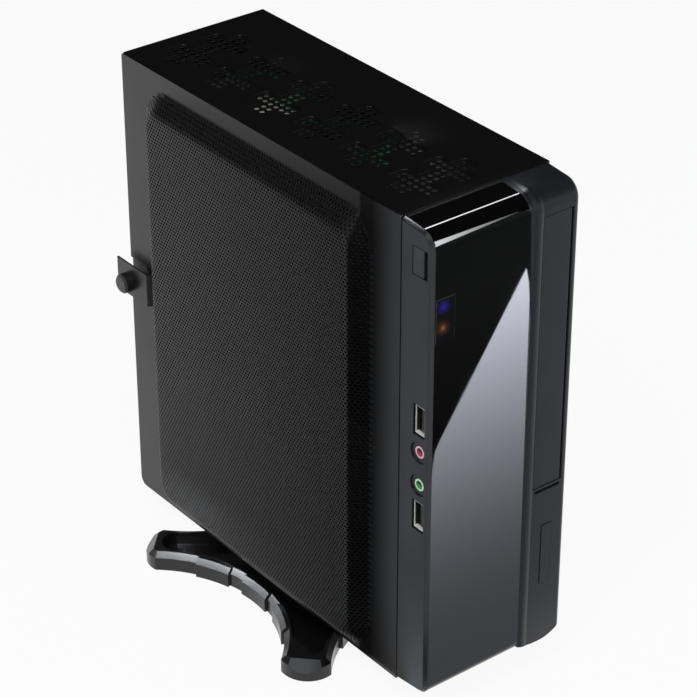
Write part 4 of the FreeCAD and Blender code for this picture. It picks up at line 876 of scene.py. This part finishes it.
    def edge_cards(self, mirror):
        """Bright lines along the front's rounded top, its crease and its bevel, and a faint haze."""
        low = mirror.low
        high = mirror.high
        bend = Vector((low.x, low.y + 0.0012, high.z - 0.0058))
        arc = fan(bend, STANDOFF, (
            (-0.0006, (0.569, -0.66, 0.49)), (0.042, (0.6, -0.725, 0.345)),
            (0.042, (0.6, -0.746, 0.31)), (-0.0006, (0.568, -0.82, 0.064))))
        card("ArcCard", arc, (0.97, 0.99, 1.0), ((1, 0, 0), arc[0].x, arc[1].x, 16.0, 1.2, 0.8))
        crest = Vector((low.x, low.y + 0.0069, high.z - 0.0001))
        line = fan(crest, 0.02, (
            (0.0, (0.567, 0.56, 0.6)), (0.048, (0.6, 0.55, 0.58)),
            (0.048, (0.6, 0.459, 0.656)), (0.0, (0.567, 0.47, 0.677))))
        card("CreaseCard", line, WHITE, 14.0)
        haze = [arc[3], arc[2], mirror.ahead(0.0505, 0.23), mirror.ahead(-0.004, 0.23)]
        card("HazeCard", haze, (0.16, 0.18, 0.17), 1.0)
        slant = Vector((-1, 0, 1)).normalized()
        strip = [mirror.off(Vector((low.x + x, low.y + y, high.z + x)), slant, 0.003) for x, y in (
            (0.0002, 0.0072), (0.0002, 0.0185), (-0.0002, 0.0185), (-0.0002, 0.0072))]
        card("BevelCard", strip, WHITE, 34.0)

    def stand_card(self):
        """The silvery light on the stand's bevels."""
        glint = [Vector((x, y, 0.045)) for x, y in (
            (-0.098, 0.03), (-0.066, 0.03), (-0.066, 0.078), (-0.098, 0.078))]
        card("GlintCard", glint, (0.95, 1.0, 1.05), 48.0, (-0.066, 0.05, 0))

    def camera(self, scene, stage):
        data = bpy.data.cameras.new("Camera")
        data.lens = stage.lens
        data.sensor_width = 36.0
        data.clip_start = 0.05
        data.clip_end = 20.0
        obj = bpy.data.objects.new("Camera", data)
        obj.location = stage.eye
        level = math.cos(stage.elevation)
        forward = Vector((math.sin(stage.azimuth) * level, math.cos(stage.azimuth) * level,
                          -math.sin(stage.elevation)))
        obj.rotation_euler = forward.to_track_quat("-Z", "Y").to_euler()
        scene.collection.objects.link(obj)
        scene.camera = obj


# Sidebar

class PCCASE_PT_panel(bpy.types.Panel):
    """Buttons and sizes of the slim computer case"""

    bl_label = "PC Case"
    bl_idname = "PCCASE_PT_panel"
    bl_space_type = "VIEW_3D"
    bl_region_type = "UI"
    bl_category = "PC Case"

    def draw(self, context):
        for operator in OPERATORS:
            self.layout.operator(operator.bl_idname)
        for group in (context.scene.pccase_mesh, context.scene.pccase_stage):
            column = self.layout.column()
            for name in group.bl_rna.properties.keys():
                if name not in ("rna_type", "name"):
                    column.prop(group, name)


OPERATORS = (PCCASE_OT_finishes, PCCASE_OT_side_panel, PCCASE_OT_stage)
CLASSES = (MeshPanelSizes, StageSizes, *OPERATORS, PCCASE_PT_panel)


def register():
    for item in CLASSES:
        bpy.utils.register_class(item)
    bpy.types.Scene.pccase_mesh = PointerProperty(type=MeshPanelSizes)
    bpy.types.Scene.pccase_stage = PointerProperty(type=StageSizes)


def unregister():
    del bpy.types.Scene.pccase_stage
    del bpy.types.Scene.pccase_mesh
    for item in reversed(CLASSES):
        bpy.utils.unregister_class(item)


def corners():
    """The shown object's box as plain lists."""
    low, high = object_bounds()
    return [[float(value) for value in low], [float(value) for value in high]]


def main():
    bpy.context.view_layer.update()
    register()
    for operator in OPERATORS:
        group, name = operator.bl_idname.split(".")
        result = getattr(getattr(bpy.ops, group), name)()
        if result != {"FINISHED"}:
            raise RuntimeError("%s didn't finish" % operator.bl_label)


if __name__ == "__main__":
    main()
